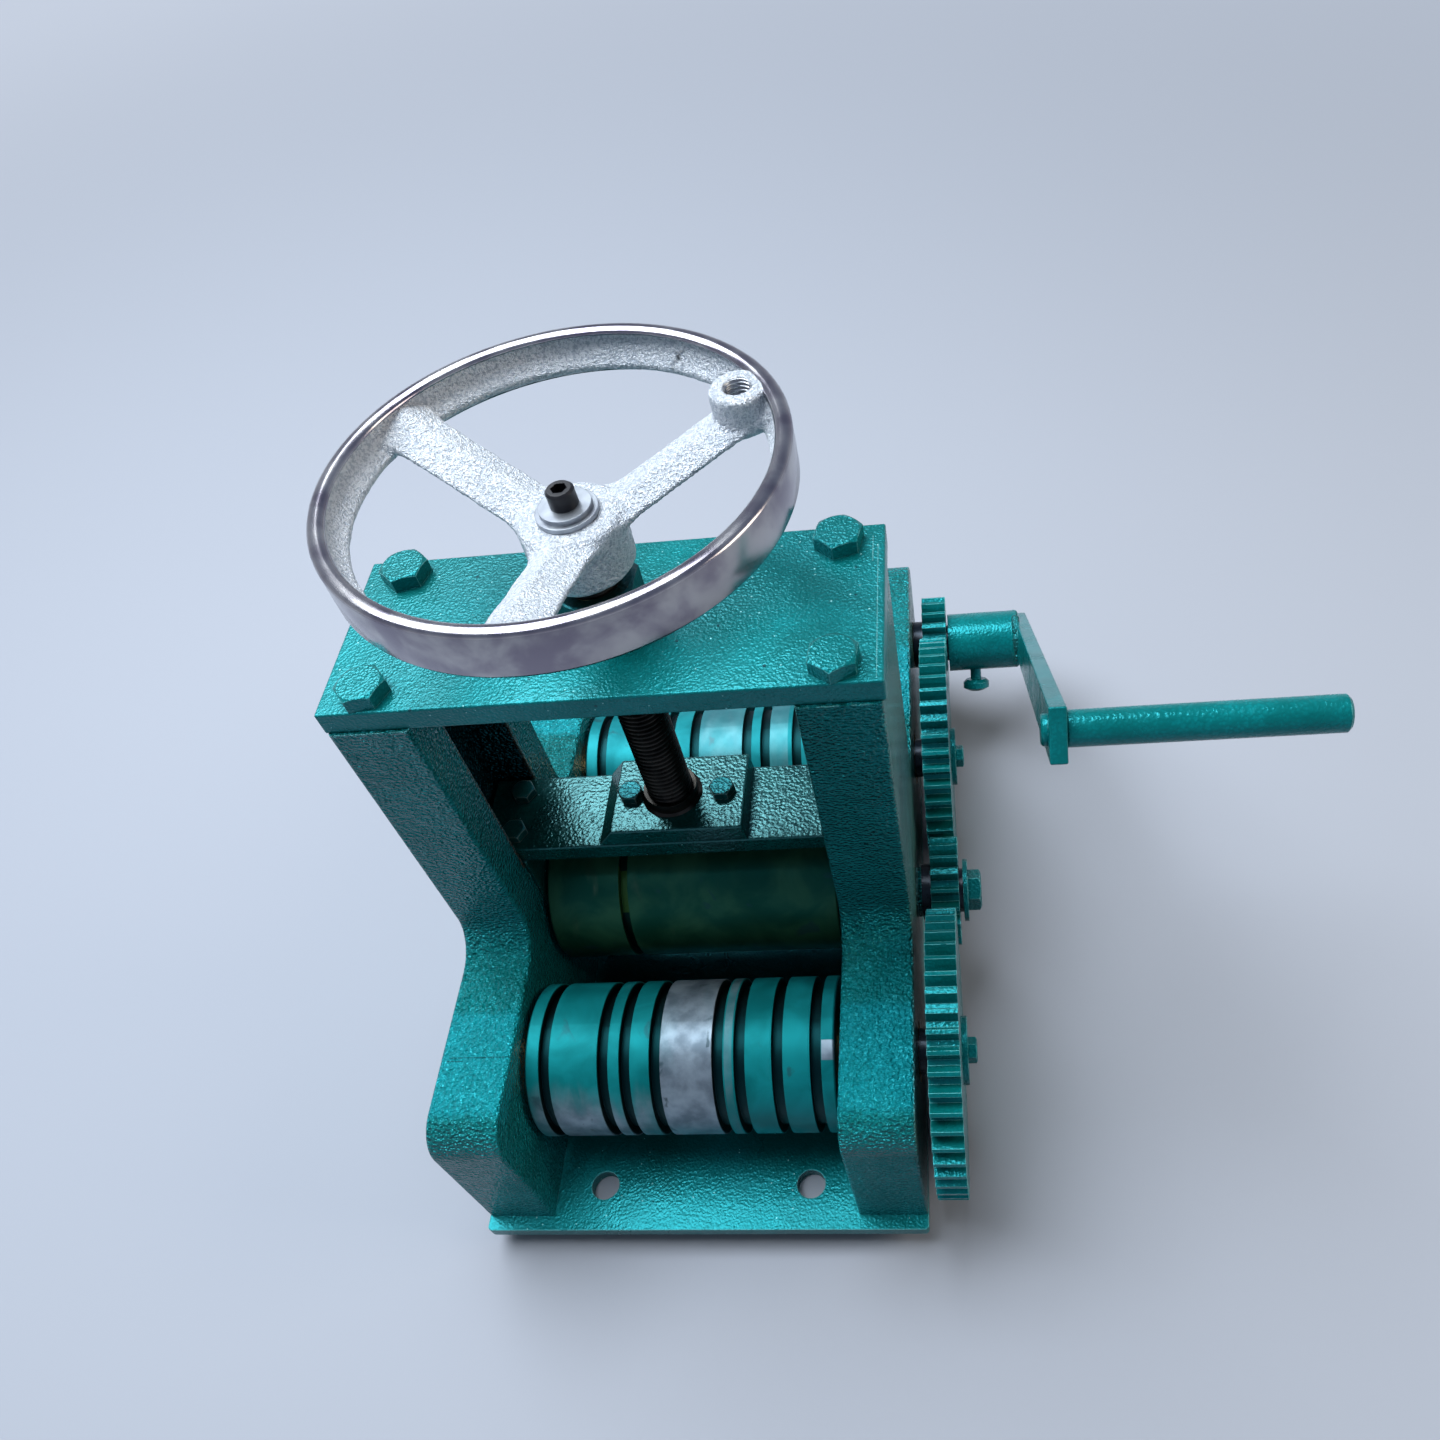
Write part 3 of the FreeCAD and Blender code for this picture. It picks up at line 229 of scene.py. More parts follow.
# %% Cast skin
LUMPS_PER_METRE = 95.0


def make_cast_skin():
    group, source, sink = new_group(
        "cast skin", {"Wrinkles per metre": 500.0, "Flow": 1.0}, {"Height": "NodeSocketFloat"},
    )
    place = object_place(group)
    inputs = {"X": 1.0, "Y": 1.0, "Z": source["Flow"]}
    squeeze = put(group, "ShaderNodeCombineXYZ", inputs).outputs[0]
    flowing = vector_node(group, "MULTIPLY", place, squeeze)["Vector"]
    scale = source["Wrinkles per metre"]
    inputs = {"Vector": flowing, "Scale": scale, "Detail": 1.0, "Distortion": 0.4}
    warp = put(group, "ShaderNodeTexNoise", inputs).outputs["Fac"]
    inputs = {"Vector": flowing, "Scale": scale, "Smoothness": 0.6}
    cells = put(group, "ShaderNodeTexVoronoi", inputs, feature="SMOOTH_F1").outputs["Distance"]
    lumps = object_noise(group, LUMPS_PER_METRE, 2.0, 0.3)
    both = math_node(group, "ADD", warp, cells)
    group.links.new(math_node(group, "ADD", both, lumps), sink["Height"])
    return group


cast_skin = make_cast_skin()
print("made the group", cast_skin.name)


# %% [markdown]
# **Worn edge.** Paint rubs off where hands and tools touch first, which is at the
# edges. The Bevel node bends the normal near an edge. Where the bent normal and the
# true one disagree there is an edge, and noise breaks the wear into patches.

# %% Worn edge
EDGE_STARTS, EDGE_FULL = 0.02, 0.16
PATCH_SOFTNESS = 0.06


def make_worn_edge():
    group, source, sink = new_group(
        "worn edge",
        {"Radius": 0.0008, "Patches per metre": 160.0, "Amount": 0.5},
        {"Wear": "NodeSocketFloat", "Normal": "NodeSocketVector"},
    )
    rounded = put(group, "ShaderNodeBevel", {"Radius": source["Radius"]}, samples=6).outputs[0]
    flat = put(group, "ShaderNodeNewGeometry").outputs["True Normal"]
    facing = vector_node(group, "DOT_PRODUCT", rounded, flat)["Value"]
    edge = ramp(group, math_node(group, "SUBTRACT", 1.0, facing), EDGE_STARTS, EDGE_FULL)
    patches = object_noise(group, source["Patches per metre"], 4.0, 0.4)
    threshold = math_node(group, "SUBTRACT", 1.0, source["Amount"])
    starts = math_node(group, "SUBTRACT", threshold, PATCH_SOFTNESS)
    patchy = ramp(group, patches, starts, threshold)
    group.links.new(math_node(group, "MULTIPLY", edge, patchy), sink["Wear"])
    group.links.new(rounded, sink["Normal"])
    return group


worn_edge = make_worn_edge()
print("made the group", worn_edge.name)


# %% [markdown]
# **Specks.** Pinholes and bits of dirt sit in brushed paint. Each Voronoi cell has a
# random colour, which decides whether it gets a speck: a small disc at its middle.

# %% Specks
def make_specks():
    group, source, sink = new_group(
        "specks",
        {"Cells per metre": 120.0, "Size": 0.12, "Share": 0.4},
        {"Mask": "NodeSocketFloat"},
    )
    inputs = {"Vector": object_place(group), "Scale": source["Cells per metre"]}
    cells = put(group, "ShaderNodeTexVoronoi", inputs).outputs
    chance = put(group, "ShaderNodeSeparateColor", {0: cells["Color"]}).outputs[0]
    chosen = math_node(group, "LESS_THAN", chance, source["Share"])
    size = math_node(group, "MULTIPLY", source["Size"], chosen)
    group.links.new(math_node(group, "LESS_THAN", cells["Distance"], size), sink["Mask"])
    return group


specks = make_specks()
print("made the group", specks.name)


# %% [markdown]
# **Turned rings.** A lathe leaves fine rings round a roller. Noise that reads only
# the place along the roller's axis is the same all the way round, so it makes rings.

# %% Turned rings
def make_turned_rings():
    group, source, sink = new_group(
        "turned rings", {"Rings per metre": 2500.0}, {"Height": "NodeSocketFloat"},
    )
    along = put(group, "ShaderNodeSeparateXYZ", {0: object_place(group)}).outputs["X"]
    flat = put(group, "ShaderNodeCombineXYZ", {"X": along}).outputs[0]
    inputs = {"Vector": flat, "Scale": source["Rings per metre"], "Detail": 2.0}
    rings = put(group, "ShaderNodeTexNoise", inputs).outputs["Fac"]
    group.links.new(rings, sink["Height"])
    return group


turned_rings = make_turned_rings()
print("made the group", turned_rings.name)


# %% [markdown]
# **Inside box.** A stain, a rub or a smear of grease belongs to one place. The mask
# is 1 inside a box and fades over its soft border, and noise makes the border ragged.

# %% Inside box
NOTHING = (0.0, 0.0, 0.0)
BORDER_NOISE = 240.0


def make_inside_box():
    group, source, sink = new_group(
        "inside box",
        {"Middle": NOTHING, "Half": NOTHING, "Soft": 0.0, "Ragged": 0.0},
        {"Mask": "NodeSocketFloat"},
    )
    away = vector_node(group, "SUBTRACT", object_place(group), source["Middle"])[0]
    size = vector_node(group, "ABSOLUTE", away)[0]
    past = vector_node(group, "SUBTRACT", size, source["Half"])[0]
    along_x, along_y, along_z = put(group, "ShaderNodeSeparateXYZ", {0: past}).outputs
    furthest = math_node(group, "MAXIMUM", along_x, along_y)
    furthest = math_node(group, "MAXIMUM", furthest, along_z)
    ragged = object_noise(group, BORDER_NOISE, 4.0, 0.5)
    wander = math_node(group, "MULTIPLY", ragged, source["Ragged"])
    furthest = math_node(group, "ADD", furthest, wander)
    inputs = {"Value": furthest, "From Min": source["Soft"], "From Max": 0.0}
    inside = put(group, "ShaderNodeMapRange", inputs).outputs["Result"]
    group.links.new(inside, sink["Mask"])
    return group


inside_box = make_inside_box()


def box_mask(tree, middle, half, soft, ragged=0.0):
    """A mask at one place, with all sizes in millimetres."""
    middle, half = Vector(middle) * MM, Vector(half) * MM
    node = use(tree, inside_box, Middle=middle, Half=half, Soft=soft * MM, Ragged=ragged * MM)
    return node.outputs["Mask"]


def add_stains(tree, colour, stains):
    """Lay stains over a colour: middle, half size, softness, raggedness, colour, strength."""
    for middle, half, soft, ragged, stain, strength in stains:
        mask = box_mask(tree, middle, half, soft, ragged)
        colour = blend_colours(tree, math_node(tree, "MULTIPLY", mask, strength), colour, stain)
    return colour


print("made the group", inside_box.name)


# %% [markdown]
# Every material starts and ends the same way, so three helpers do it: one gives an
# empty tree with its Principled shader, one turns a height into a bent normal, and
# one links what a recipe made to the shader's sockets.

# %% Material helpers
def new_material(name):
    material = bpy.data.materials.new(name)
    material.use_nodes = True
    tree = material.node_tree
    tree.nodes.clear()
    shader = put(tree, "ShaderNodeBsdfPrincipled")
    put(tree, "ShaderNodeOutputMaterial", {"Surface": shader.outputs[0]})
    return material, tree, shader


def bump(tree, height, distance, normal=None):
    inputs = {"Height": height, "Distance": distance, "Strength": 1.0}
    if normal is not None:
        inputs["Normal"] = normal
    return put(tree, "ShaderNodeBump", inputs).outputs[0]


def wire(tree, shader, **outputs):
    """Link outputs to the shader. An underscore in a name stands for a space."""
    for name, output in outputs.items():
        tree.links.new(output, shader.inputs[name.replace("_", " ")])


# %% [markdown]
# ## The green enamel
#
# One blue-green enamel covers nearly the whole machine, over surfaces that differ:
# sand-cast frames, rolled plate, bolt heads, gears and bar. So one function makes
# them all, and the skin under the paint is a number, not a new tree. The paint
# mirrors the light in its own hue, which the Specular Tint gives.

# %% Enamel
PAINT = (0.002, 0.170, 0.180)
PAINT_DEEP = (0.001, 0.085, 0.082)
EDGE_WEAR_AND_HIGHLIGHT = (0.20, 0.60, 0.62)
PAINTED_WARM_LIGHT = (0.62, 0.52, 0.36)
DIRT_AND_SHADE = (0.004, 0.008, 0.008)
GREASE_AND_SHADE = (0.0015, 0.0018, 0.0016)
RUST = (0.105, 0.042, 0.016)
DUST = (0.30, 0.62, 0.64)
PAINTED_SHEEN = (0.008, 0.36, 0.44)
GLOSS_TINT = (0.08, 0.86, 1.0)
SMEAR_REACH = 0.24


def enamel(name, skin_height, wrinkles, flow=1.0, wear=0.42, wear_radius=0.0009,
           speck_size=0.0, dust_size=0.0, shade=PAINT, deep=PAINT_DEEP, roughness=0.30,
           wear_and_highlight_colour=EDGE_WEAR_AND_HIGHLIGHT, gloss_tint=GLOSS_TINT, stains=()):
    material, tree, shader = new_material(name)
    skin = use(tree, cast_skin, Wrinkles_per_metre=wrinkles, Flow=flow).outputs["Height"]
    edge = use(tree, worn_edge, Radius=wear_radius, Amount=wear).outputs
    cloud = ramp(tree, object_noise(tree, 20.0, 4.0, 0.5), 0.30, 0.66)
    colour = blend_colours(tree, cloud, deep, shade)
    valleys = math_node(tree, "MULTIPLY", ramp(tree, skin, 1.20, 1.60), 0.5)
    colour = blend_colours(tree, valleys, colour, deep)
    if dust_size:
        dust = use(tree, specks, Cells_per_metre=300.0, Size=dust_size, Share=0.25)
        colour = blend_colours(tree, dust.outputs["Mask"], colour, DUST)
    if speck_size:
        pits = use(tree, specks, Size=speck_size).outputs["Mask"]
        colour = blend_colours(tree, pits, colour, DIRT_AND_SHADE)
    # Worn edges take this colour. The pale cyan default is wear and a painted edge highlight.
    colour = blend_colours(tree, edge["Wear"], colour, wear_and_highlight_colour)
    colour = add_stains(tree, colour, stains)
    smear = object_noise(tree, 60.0, 3.0, 0.8)
    gloss = scale_and_add(tree, smear, SMEAR_REACH, roughness - SMEAR_REACH / 2)
    normal = bump(tree, skin, skin_height, edge["Normal"])
    wire(tree, shader, Base_Color=colour, Roughness=gloss, Normal=normal)
    shader.inputs["Specular IOR Level"].default_value = 1.0
    shader.inputs["Specular Tint"].default_value = (*gloss_tint, 1.0)
    return material


# %% [markdown]
# Wear has its places. Rust lines the pockets in which the blocks slide, and their
# black inside is painted shade. Painted shade also darkens the lower inside faces of
# the frames and the base between them. A crack in the paint crosses one lobe, and the
# top plate has a scratch. A painted highlight brightens the lobes' tops and the lip of
# the base, which lie open to the light. A faint painted warm light tints the right
# frame's outer face, and the front of the feet carries dust and a painted reflection
# of the floor. Each row is one stain, as `add_stains` reads it.

# %% Where the enamel is stained
POCKET_MIDDLE_Z = 185.0
LOBE_Y, LOBE_Z = 104.0, 88.0
FRAME_STAINS = []
for side in (-1, 1):
    FRAME_STAINS += [
        # Painted highlights on the tops of the lobes, front and rear.
        ((side * 86.0, -LOBE_Y, LOBE_Z), (15.0, 22.0, 4.0), 7.0, 6.0, PAINTED_SHEEN, 0.62),
        ((side * 86.0, LOBE_Y, LOBE_Z), (15.0, 22.0, 4.0), 7.0, 6.0, PAINTED_SHEEN, 0.62),
        ((side * 72.0, 0.0, POCKET_MIDDLE_Z), (3.2, 23.6, 68.0), 0.6, 3.0, RUST, 0.9),
        # The black inside each pocket is painted shade.
        ((side * 81.5, 0.0, POCKET_MIDDLE_Z), (9.6, 21.3, 70.0), 0.4, 0.0, GREASE_AND_SHADE, 1.0),
        # Near black on the lower inside faces of the frames is painted shade.
        ((side * 71.2, -60.0, 48.0), (0.9, 60.0, 34.0), 0.8, 5.0, DIRT_AND_SHADE, 0.55),
    ]
FRAME_STAINS += [
    # A faint painted warm light on the right frame's outer face.
    ((102.0, 30.0, 120.0), (1.1, 180.0, 130.0), 0.5, 1.3, PAINTED_WARM_LIGHT, 0.10),
    ((-84.5, -101.0, 91.5), (13.5, 0.02, 1.2), 0.30, 0.0, DIRT_AND_SHADE, 0.85),
    ((-95.5, -102.6, 91.5), (4.0, 0.02, 1.2), 0.35, 0.0, DIRT_AND_SHADE, 0.85),
    # A grey-green wash on the front of the feet: dust and a painted reflection of the floor.
    ((0.0, -141.0, 30.0), (110.0, 1.0, 26.0), 1.5, 6.0, (0.16, 0.24, 0.20), 0.55),
]
BASE_STAINS = [
    # Near black on the base between the frames, under the rollers, is painted shade.
    ((0.0, 0.0, 6.0), (70.0, 66.0, 9.0), 9.0, 12.0, GREASE_AND_SHADE, 0.9),
    # A painted highlight on the lip of the base.
    ((10.0, -165.0, 9.0), (110.0, 12.0, 3.0), 9.0, 8.0, PAINTED_SHEEN, 0.35),
]
PLATE_STAINS = [
    ((100.3, -5.0, 246.4), (0.02, 34.0, 1.0), 0.28, 0.25, DUST, 0.9),
    ((98.4, 27.0, 246.4), (0.02, 7.0, 1.0), 0.30, 0.25, DUST, 0.8),
]
print("stains on the enamel:", len(FRAME_STAINS) + len(BASE_STAINS) + len(PLATE_STAINS))


# %% [markdown]
# Cast iron is the roughest skin under the paint, plate and bar are nearly smooth.
# The nut and the yoke get a darker enamel.

# %% Enamels
NUT_SHADE = (0.004, 0.045, 0.040)
YOKE_SHADE = (0.004, 0.085, 0.075)
YOKE_DEEP = (0.002, 0.030, 0.028)
YOKE_GLOSS = (0.30, 0.92, 0.98)
BARE_CAP = (0.42, 0.42, 0.36)

enamels = {
    "casting": enamel("enamel on casting", 0.0016, 640.0, flow=1.5, wear=0.50,
                      wear_radius=0.0012, roughness=0.20, stains=FRAME_STAINS),
    "plate": enamel("enamel on plate", 0.00018, 900.0, wear=0.55, speck_size=0.085,
                    dust_size=0.10, stains=PLATE_STAINS),
    "base": enamel("enamel on base", 0.00013, 820.0, wear=0.62, speck_size=0.06,
                   dust_size=0.10, stains=BASE_STAINS),
    "bolt": enamel("enamel on bolts", 0.00022, 900.0, wear=0.50, wear_radius=0.0007,
                   roughness=0.24),
    # The nut's worn edges are coloured as a painted warm highlight.
    "nut": enamel("enamel on the nut", 0.00014, 700.0, wear=0.35, wear_radius=0.0006,
                  shade=NUT_SHADE, deep=DIRT_AND_SHADE, wear_and_highlight_colour=PAINTED_WARM_LIGHT),
    "gear": enamel("enamel on gears", 0.00014, 800.0, wear=0.62, wear_radius=0.00045,
                   roughness=0.24),
    "bar": enamel("enamel on bar", 0.00014, 700.0, wear_radius=0.0006, roughness=0.25),
    "yoke": enamel("enamel on the yoke", 0.00012, 700.0, wear=0.45, wear_radius=0.0008,
                   shade=YOKE_SHADE, deep=YOKE_DEEP, roughness=0.20, speck_size=0.07,
                   dust_size=0.08, gloss_tint=YOKE_GLOSS),
    "cap": enamel("worn yoke bolts", 0.00016, 700.0, wear=0.85, wear_radius=0.0009,
                  shade=YOKE_SHADE, deep=YOKE_DEEP, wear_and_highlight_colour=BARE_CAP),
}
print("enamels:", ", ".join(enamels))


# %% [markdown]
# ## Turned rollers
#
# The rollers are turned steel. Thin paint went over them too, and has worn off where
# the work runs, so masks along the roller blend paint and bright metal. The grooves
# are near black, with grease and painted shade: a point is in a groove when it lies
# nearer the axis than the surface.

# %% Roller steel
GROOVE_STARTS, GROOVE_FULL = 0.2, 0.8
SMUDGE_STRETCH = (2.5, 0.8, 0.8)
ROLLER_DIRT = (0.02, 0.05, 0.06)
RING_HEIGHT = 0.00003


def groove_mask(tree, node):
    low, high = corners_of(node)
    radius = (high.z - low.z) / 2
    away = vector_node(tree, "SUBTRACT", object_place(tree), middle_of(node))[0]
    flat = vector_node(tree, "MULTIPLY", away, (0.0, 1.0, 1.0))[0]
    distance = vector_node(tree, "LENGTH", flat)["Value"]
    return ramp(tree, distance, radius - GROOVE_STARTS * MM, radius - GROOVE_FULL * MM)


def worn_share(tree, bare):
    """Where the paint is gone: in the bare boxes, or in smudges where none are given."""
    smudge = object_noise(tree, 30.0, 5.0, 0.5, stretch=SMUDGE_STRETCH)
    if not bare:
        return ramp(tree, smudge, 0.62, 0.80)
    worn = None
    for middle, half, soft, strength in bare:
        mask = math_node(tree, "MULTIPLY", box_mask(tree, middle, half, soft), strength)
        worn = mask if worn is None else math_node(tree, "MAXIMUM", worn, mask)
    patchy = math_node(tree, "ADD", worn, math_node(tree, "SUBTRACT", smudge, 0.5))
    return ramp(tree, patchy, 0.10, 0.90)


def roller_steel(name, node, film, film_thin, steel_light, steel_dark, bare=(), stains=(),
                 groove=GREASE_AND_SHADE):
    material, tree, shader = new_material(name)
    rings = use(tree, turned_rings).outputs["Height"]
    edge = use(tree, worn_edge, Radius=0.0005, Amount=0.7).outputs
    film_cloud = ramp(tree, object_noise(tree, 45.0, 4.0, 0.6), 0.35, 0.7)
    steel_cloud = ramp(tree, object_noise(tree, 110.0, 4.0), 0.3, 0.7)
    paint = blend_colours(tree, film_cloud, film, film_thin)
    steel = blend_colours(tree, steel_cloud, steel_dark, steel_light)
    worn = worn_share(tree, bare)
    colour = blend_colours(tree, worn, paint, steel)
    dirt = ramp(tree, object_noise(tree, 75.0, 5.0, 0.6), 0.64, 0.72)
    colour = blend_colours(tree, math_node(tree, "MULTIPLY", dirt, 0.6), colour, ROLLER_DIRT)
    # The grooves take the groove colour, near black: grease and painted shade.
    grooves = groove_mask(tree, node)
    colour = add_stains(tree, blend_colours(tree, grooves, colour, groove), stains)
    outside_grooves = math_node(tree, "SUBTRACT", 1.0, grooves)
    open_steel = math_node(tree, "MULTIPLY", worn, outside_grooves)
    metal = scale_and_add(tree, open_steel, 0.45, 0.20)
    rough = scale_and_add(tree, object_noise(tree, 90.0, 3.0), 0.26, 0.32)
    normal = bump(tree, rings, RING_HEIGHT, edge["Normal"])
    wire(tree, shader, Base_Color=colour, Metallic=metal, Roughness=rough, Normal=normal)
    shader.inputs["Specular Tint"].default_value = (*GLOSS_TINT, 1.0)
    return material


# %% [markdown]
# The middle band of the front roller is the barest, and its lower left side is
# scuffed. The rear roller is only polished. The upper roller is covered in grease
# from end to end. Each bare box is a middle, a half size, a softness and a strength.

# %% The three rollers
STEEL_LIGHT = (0.27, 0.33, 0.39)
STEEL_DARK = (0.13, 0.16, 0.20)
OIL_STAIN = (0.06, 0.13, 0.15)
BROWN_STAIN = (0.05, 0.045, 0.03)
MOSS_STAIN = (0.060, 0.130, 0.012)
FRONT_BARE = [
    ((3.8, -83.7, 52.0), (11.4, 60.0, 60.0), 0.6, 0.92),
    ((-38.0, -118.0, 42.0), (16.0, 10.0, 18.0), 20.0, 0.75),
    ((22.1, -83.7, 52.0), (1.5, 60.0, 60.0), 0.5, 0.35),
    ((66.0, -97.0, 83.0), (3.5, 3.6, 5.0), 0.5, 1.0),
]
FRONT_STAINS = [
    ((-6.0, -113.0, 69.0), (2.0, 3.5, 3.5), 1.0, 4.0, DIRT_AND_SHADE, 0.7),
    ((13.5, -90.0, 84.0), (1.6, 6.0, 3.0), 0.6, 3.0, DIRT_AND_SHADE, 0.6),
    ((-46.0, -117.0, 54.0), (8.0, 3.0, 6.0), 2.0, 9.0, BROWN_STAIN, 0.7),
]
REAR_BARE = [
    ((3.8, 83.7, 52.0), (11.0, 60.0, 60.0), 1.0, 0.6),
    ((34.0, 83.7, 52.0), (4.5, 60.0, 60.0), 0.6, 0.6),
]
REAR_STAINS = [
    ((-0.6, 75.0, 85.0), (3.5, 6.5, 3.0), 1.0, 6.0, OIL_STAIN, 0.95),
    ((24.0, 71.0, 83.0), (1.5, 5.0, 3.0), 0.8, 5.0, OIL_STAIN, 0.7),
]
PRESSURE_STAINS = [((-31.4, -20.0, 93.0), (2.1, 9.0, 9.0), 0.4, 0.5, MOSS_STAIN, 1.0)]

rollers = {
    "front_roller": roller_steel(
        "front roller steel", "front_roller",
        film=(0.002, 0.13, 0.14), film_thin=(0.006, 0.22, 0.24),
        steel_light=STEEL_LIGHT, steel_dark=STEEL_DARK, bare=FRONT_BARE, stains=FRONT_STAINS),
    "rear_roller": roller_steel(
        "rear roller steel", "rear_roller",
        film=(0.004, 0.13, 0.15), film_thin=(0.012, 0.22, 0.25),
        steel_light=(0.10, 0.25, 0.28), steel_dark=(0.06, 0.17, 0.20),
        bare=REAR_BARE, stains=REAR_STAINS),
    "pressure_roller": roller_steel(
        "greasy pressure roller", "pressure_roller",
        film=(0.007, 0.055, 0.027), film_thin=(0.034, 0.115, 0.055),
        steel_light=(0.10, 0.16, 0.10), steel_dark=(0.03, 0.07, 0.04),
        stains=PRESSURE_STAINS, groove=(0.004, 0.012, 0.004)),
}
print("rollers:", ", ".join(rollers))


# %% [markdown]
# ## Other metals
#
# The shafts, screws, washers and bushes differ in colour, gloss and grain only, so
# one function makes them. The handwheel is a sand casting under silver paint, whose
# grain is as large as its dots of shade, so it gets a recipe of its own.

# %% Metals
def plain_metal(name, light, dark, roughness, metallic=1.0, cloud=100.0, grain=400.0,
                height=0.00002):
    """Metal with clouds of two colours, a fine grain and softly rounded edges."""
    material, tree, shader = new_material(name)
    edge = use(tree, worn_edge, Radius=0.0003, Amount=0.6).outputs
    mottle = ramp(tree, object_noise(tree, cloud, 4.0, 0.3), 0.34, 0.66)
    rough = scale_and_add(tree, object_noise(tree, grain, 3.0), 0.2, roughness - 0.1)
    normal = bump(tree, object_noise(tree, grain, 2.0), height, edge["Normal"])
    colour = blend_colours(tree, mottle, dark, light)
    wire(tree, shader, Base_Color=colour, Roughness=rough, Normal=normal)
    shader.inputs["Metallic"].default_value = metallic
    return material


def silver_casting(name, silver, pit, stains=()):
    """Sand-cast iron under silver paint: a fine grain whose hollows stay dark."""
    material, tree, shader = new_material(name)
    grain = object_noise(tree, 900.0, 2.0)
    fine = object_noise(tree, 2200.0, 1.0)
    both = math_node(tree, "ADD", grain, math_node(tree, "MULTIPLY", fine, 0.6))
    hollows = math_node(tree, "MULTIPLY", ramp(tree, both, 0.86, 0.66), 0.65)
    colour = add_stains(tree, blend_colours(tree, hollows, silver, pit), stains)
    wire(tree, shader, Base_Color=colour, Normal=bump(tree, both, 0.0011))
    shader.inputs["Metallic"].default_value = 0.45
    shader.inputs["Roughness"].default_value = 0.38
    return material


RIM_STAINS = [((33.0, 65.0, 307.0), (4.0, 3.0, 4.0), 2.0, 7.0, DIRT_AND_SHADE, 0.85)]
metals = {
    "shaft": plain_metal("turned shaft steel", (0.45, 0.45, 0.44), (0.25, 0.25, 0.24), 0.35),
    "spacer": plain_metal("dark spacer steel", (0.020, 0.035, 0.055), (0.006, 0.010, 0.018),
                          0.30, metallic=0.5),
    "dark": plain_metal("oily dark steel", (0.040, 0.036, 0.030), (0.005, 0.005, 0.004),
                        0.30, metallic=0.7),
    "black": plain_metal("black screw steel", (0.014, 0.015, 0.020), (0.005, 0.005, 0.008),
                         0.36, metallic=0.3),
    "washer": plain_metal("zinc washer", (0.36, 0.39, 0.43), (0.24, 0.26, 0.30),
                          0.34, metallic=0.8),
    "bronze": plain_metal("bush bronze", (0.50, 0.34, 0.14), (0.30, 0.19, 0.08), 0.38),
    "thread": plain_metal("cut thread", (0.62, 0.64, 0.66), (0.40, 0.42, 0.45), 0.30),
    "silver": silver_casting("silver casting", (0.63, 0.66, 0.71), (0.24, 0.30, 0.38),
                             RIM_STAINS),
    "chrome": plain_metal("polished rim", (0.44, 0.43, 0.44), (0.22, 0.20, 0.25),
                          0.18, cloud=60.0, grain=60.0, height=0.00004),
}
print("metals:", ", ".join(metals))


# %% [markdown]
# ## Which finish goes on which piece
#
# A solid whose shape is right stays, and only its material slot changes.

# %% Dress the solids
FINISHES = {
    enamels["casting"]: ["left_frame", "right_frame"],
    enamels["plate"]: ["top_plate"],
    enamels["base"]: ["base_plate"],
    enamels["bolt"]: ["top_plate_bolts", "idler_bolt", "idler_washer", "front_gear_bolt",
                      "rear_gear_bolt", "front_gear_washer", "rear_gear_washer",
                      "clamp_screw"],
    enamels["nut"]: ["screw_nut"],
    enamels["gear"]: ["front_gear", "rear_gear", "idler_gear", "crank_pinion"],
    enamels["bar"]: ["crank_sleeve", "crank_arm", "crank_grip", "grip_pin"],
    enamels["yoke"]: ["crossbar", "keeper", "left_block", "right_block"],
    enamels["cap"]: ["block_bolts", "keeper_bolts"],
    metals["shaft"]: ["pressure_shaft", "crank_collar", "front_gear_key", "rear_gear_key",
                      "pinion_key", "wheel_key", "foot_screws"],
    metals["spacer"]: ["front_shaft", "rear_shaft", "crank_shaft", "crank_spacer",
                       "idler_sleeve", "idler_spacer"],
    metals["dark"]: ["pressure_screw", "screw_collar"],
    metals["black"]: ["wheel_screw"],
    metals["washer"]: ["wheel_washer_large", "wheel_washer_small"],
    metals["silver"]: ["handwheel"],
    metals["bronze"]: ["roller_bushes", "crank_bushes", "block_bushes",
                       "roller_thrust_washers"],
    **{material: [name] for name, material in rollers.items()},
}
dressed = []
for material, names in FINISHES.items():
    for name in names:
        nodes[name].data.materials.clear()
        nodes[name].data.materials.append(material)
        dressed.append(name)
print("dressed solids:", len(dressed), "not dressed:", sorted(set(nodes) - set(dressed)))


# %% [markdown]
# ## Making new pieces
#
# Two ways of making a closed skin do most of the work here. `lathe` turns a closed
# profile about an upright axis. `loft` joins loops with equal numbers of corners.
# `next_pairs` walks round a closed loop, so the last corner meets the first again.

# %% Closed skins
def next_pairs(count):
    return [(index, (index + 1) % count) for index in range(count)]


def lathe(shape, profile, steps, middle=(0.0, 0.0)):
    """Turn a closed profile of (radius, height) points, in millimetres.

    The profile may be a function of how far round it is, from 0 to 1, as in a thread."""
    rings = []
    for step in range(steps):
        angle = math.tau * step / steps
        points = profile(step / steps) if callable(profile) else profile
        rings.append([
            shape.verts.new((
                (middle[0] + radius * math.cos(angle)) * MM,
                (middle[1] + radius * math.sin(angle)) * MM,
                height * MM,
            ))
            for radius, height in points
        ])
    for step, next_step in next_pairs(steps):
        here, there = rings[step], rings[next_step]
        for index, after in next_pairs(len(here)):
            shape.faces.new((here[index], there[index], there[after], here[after]))


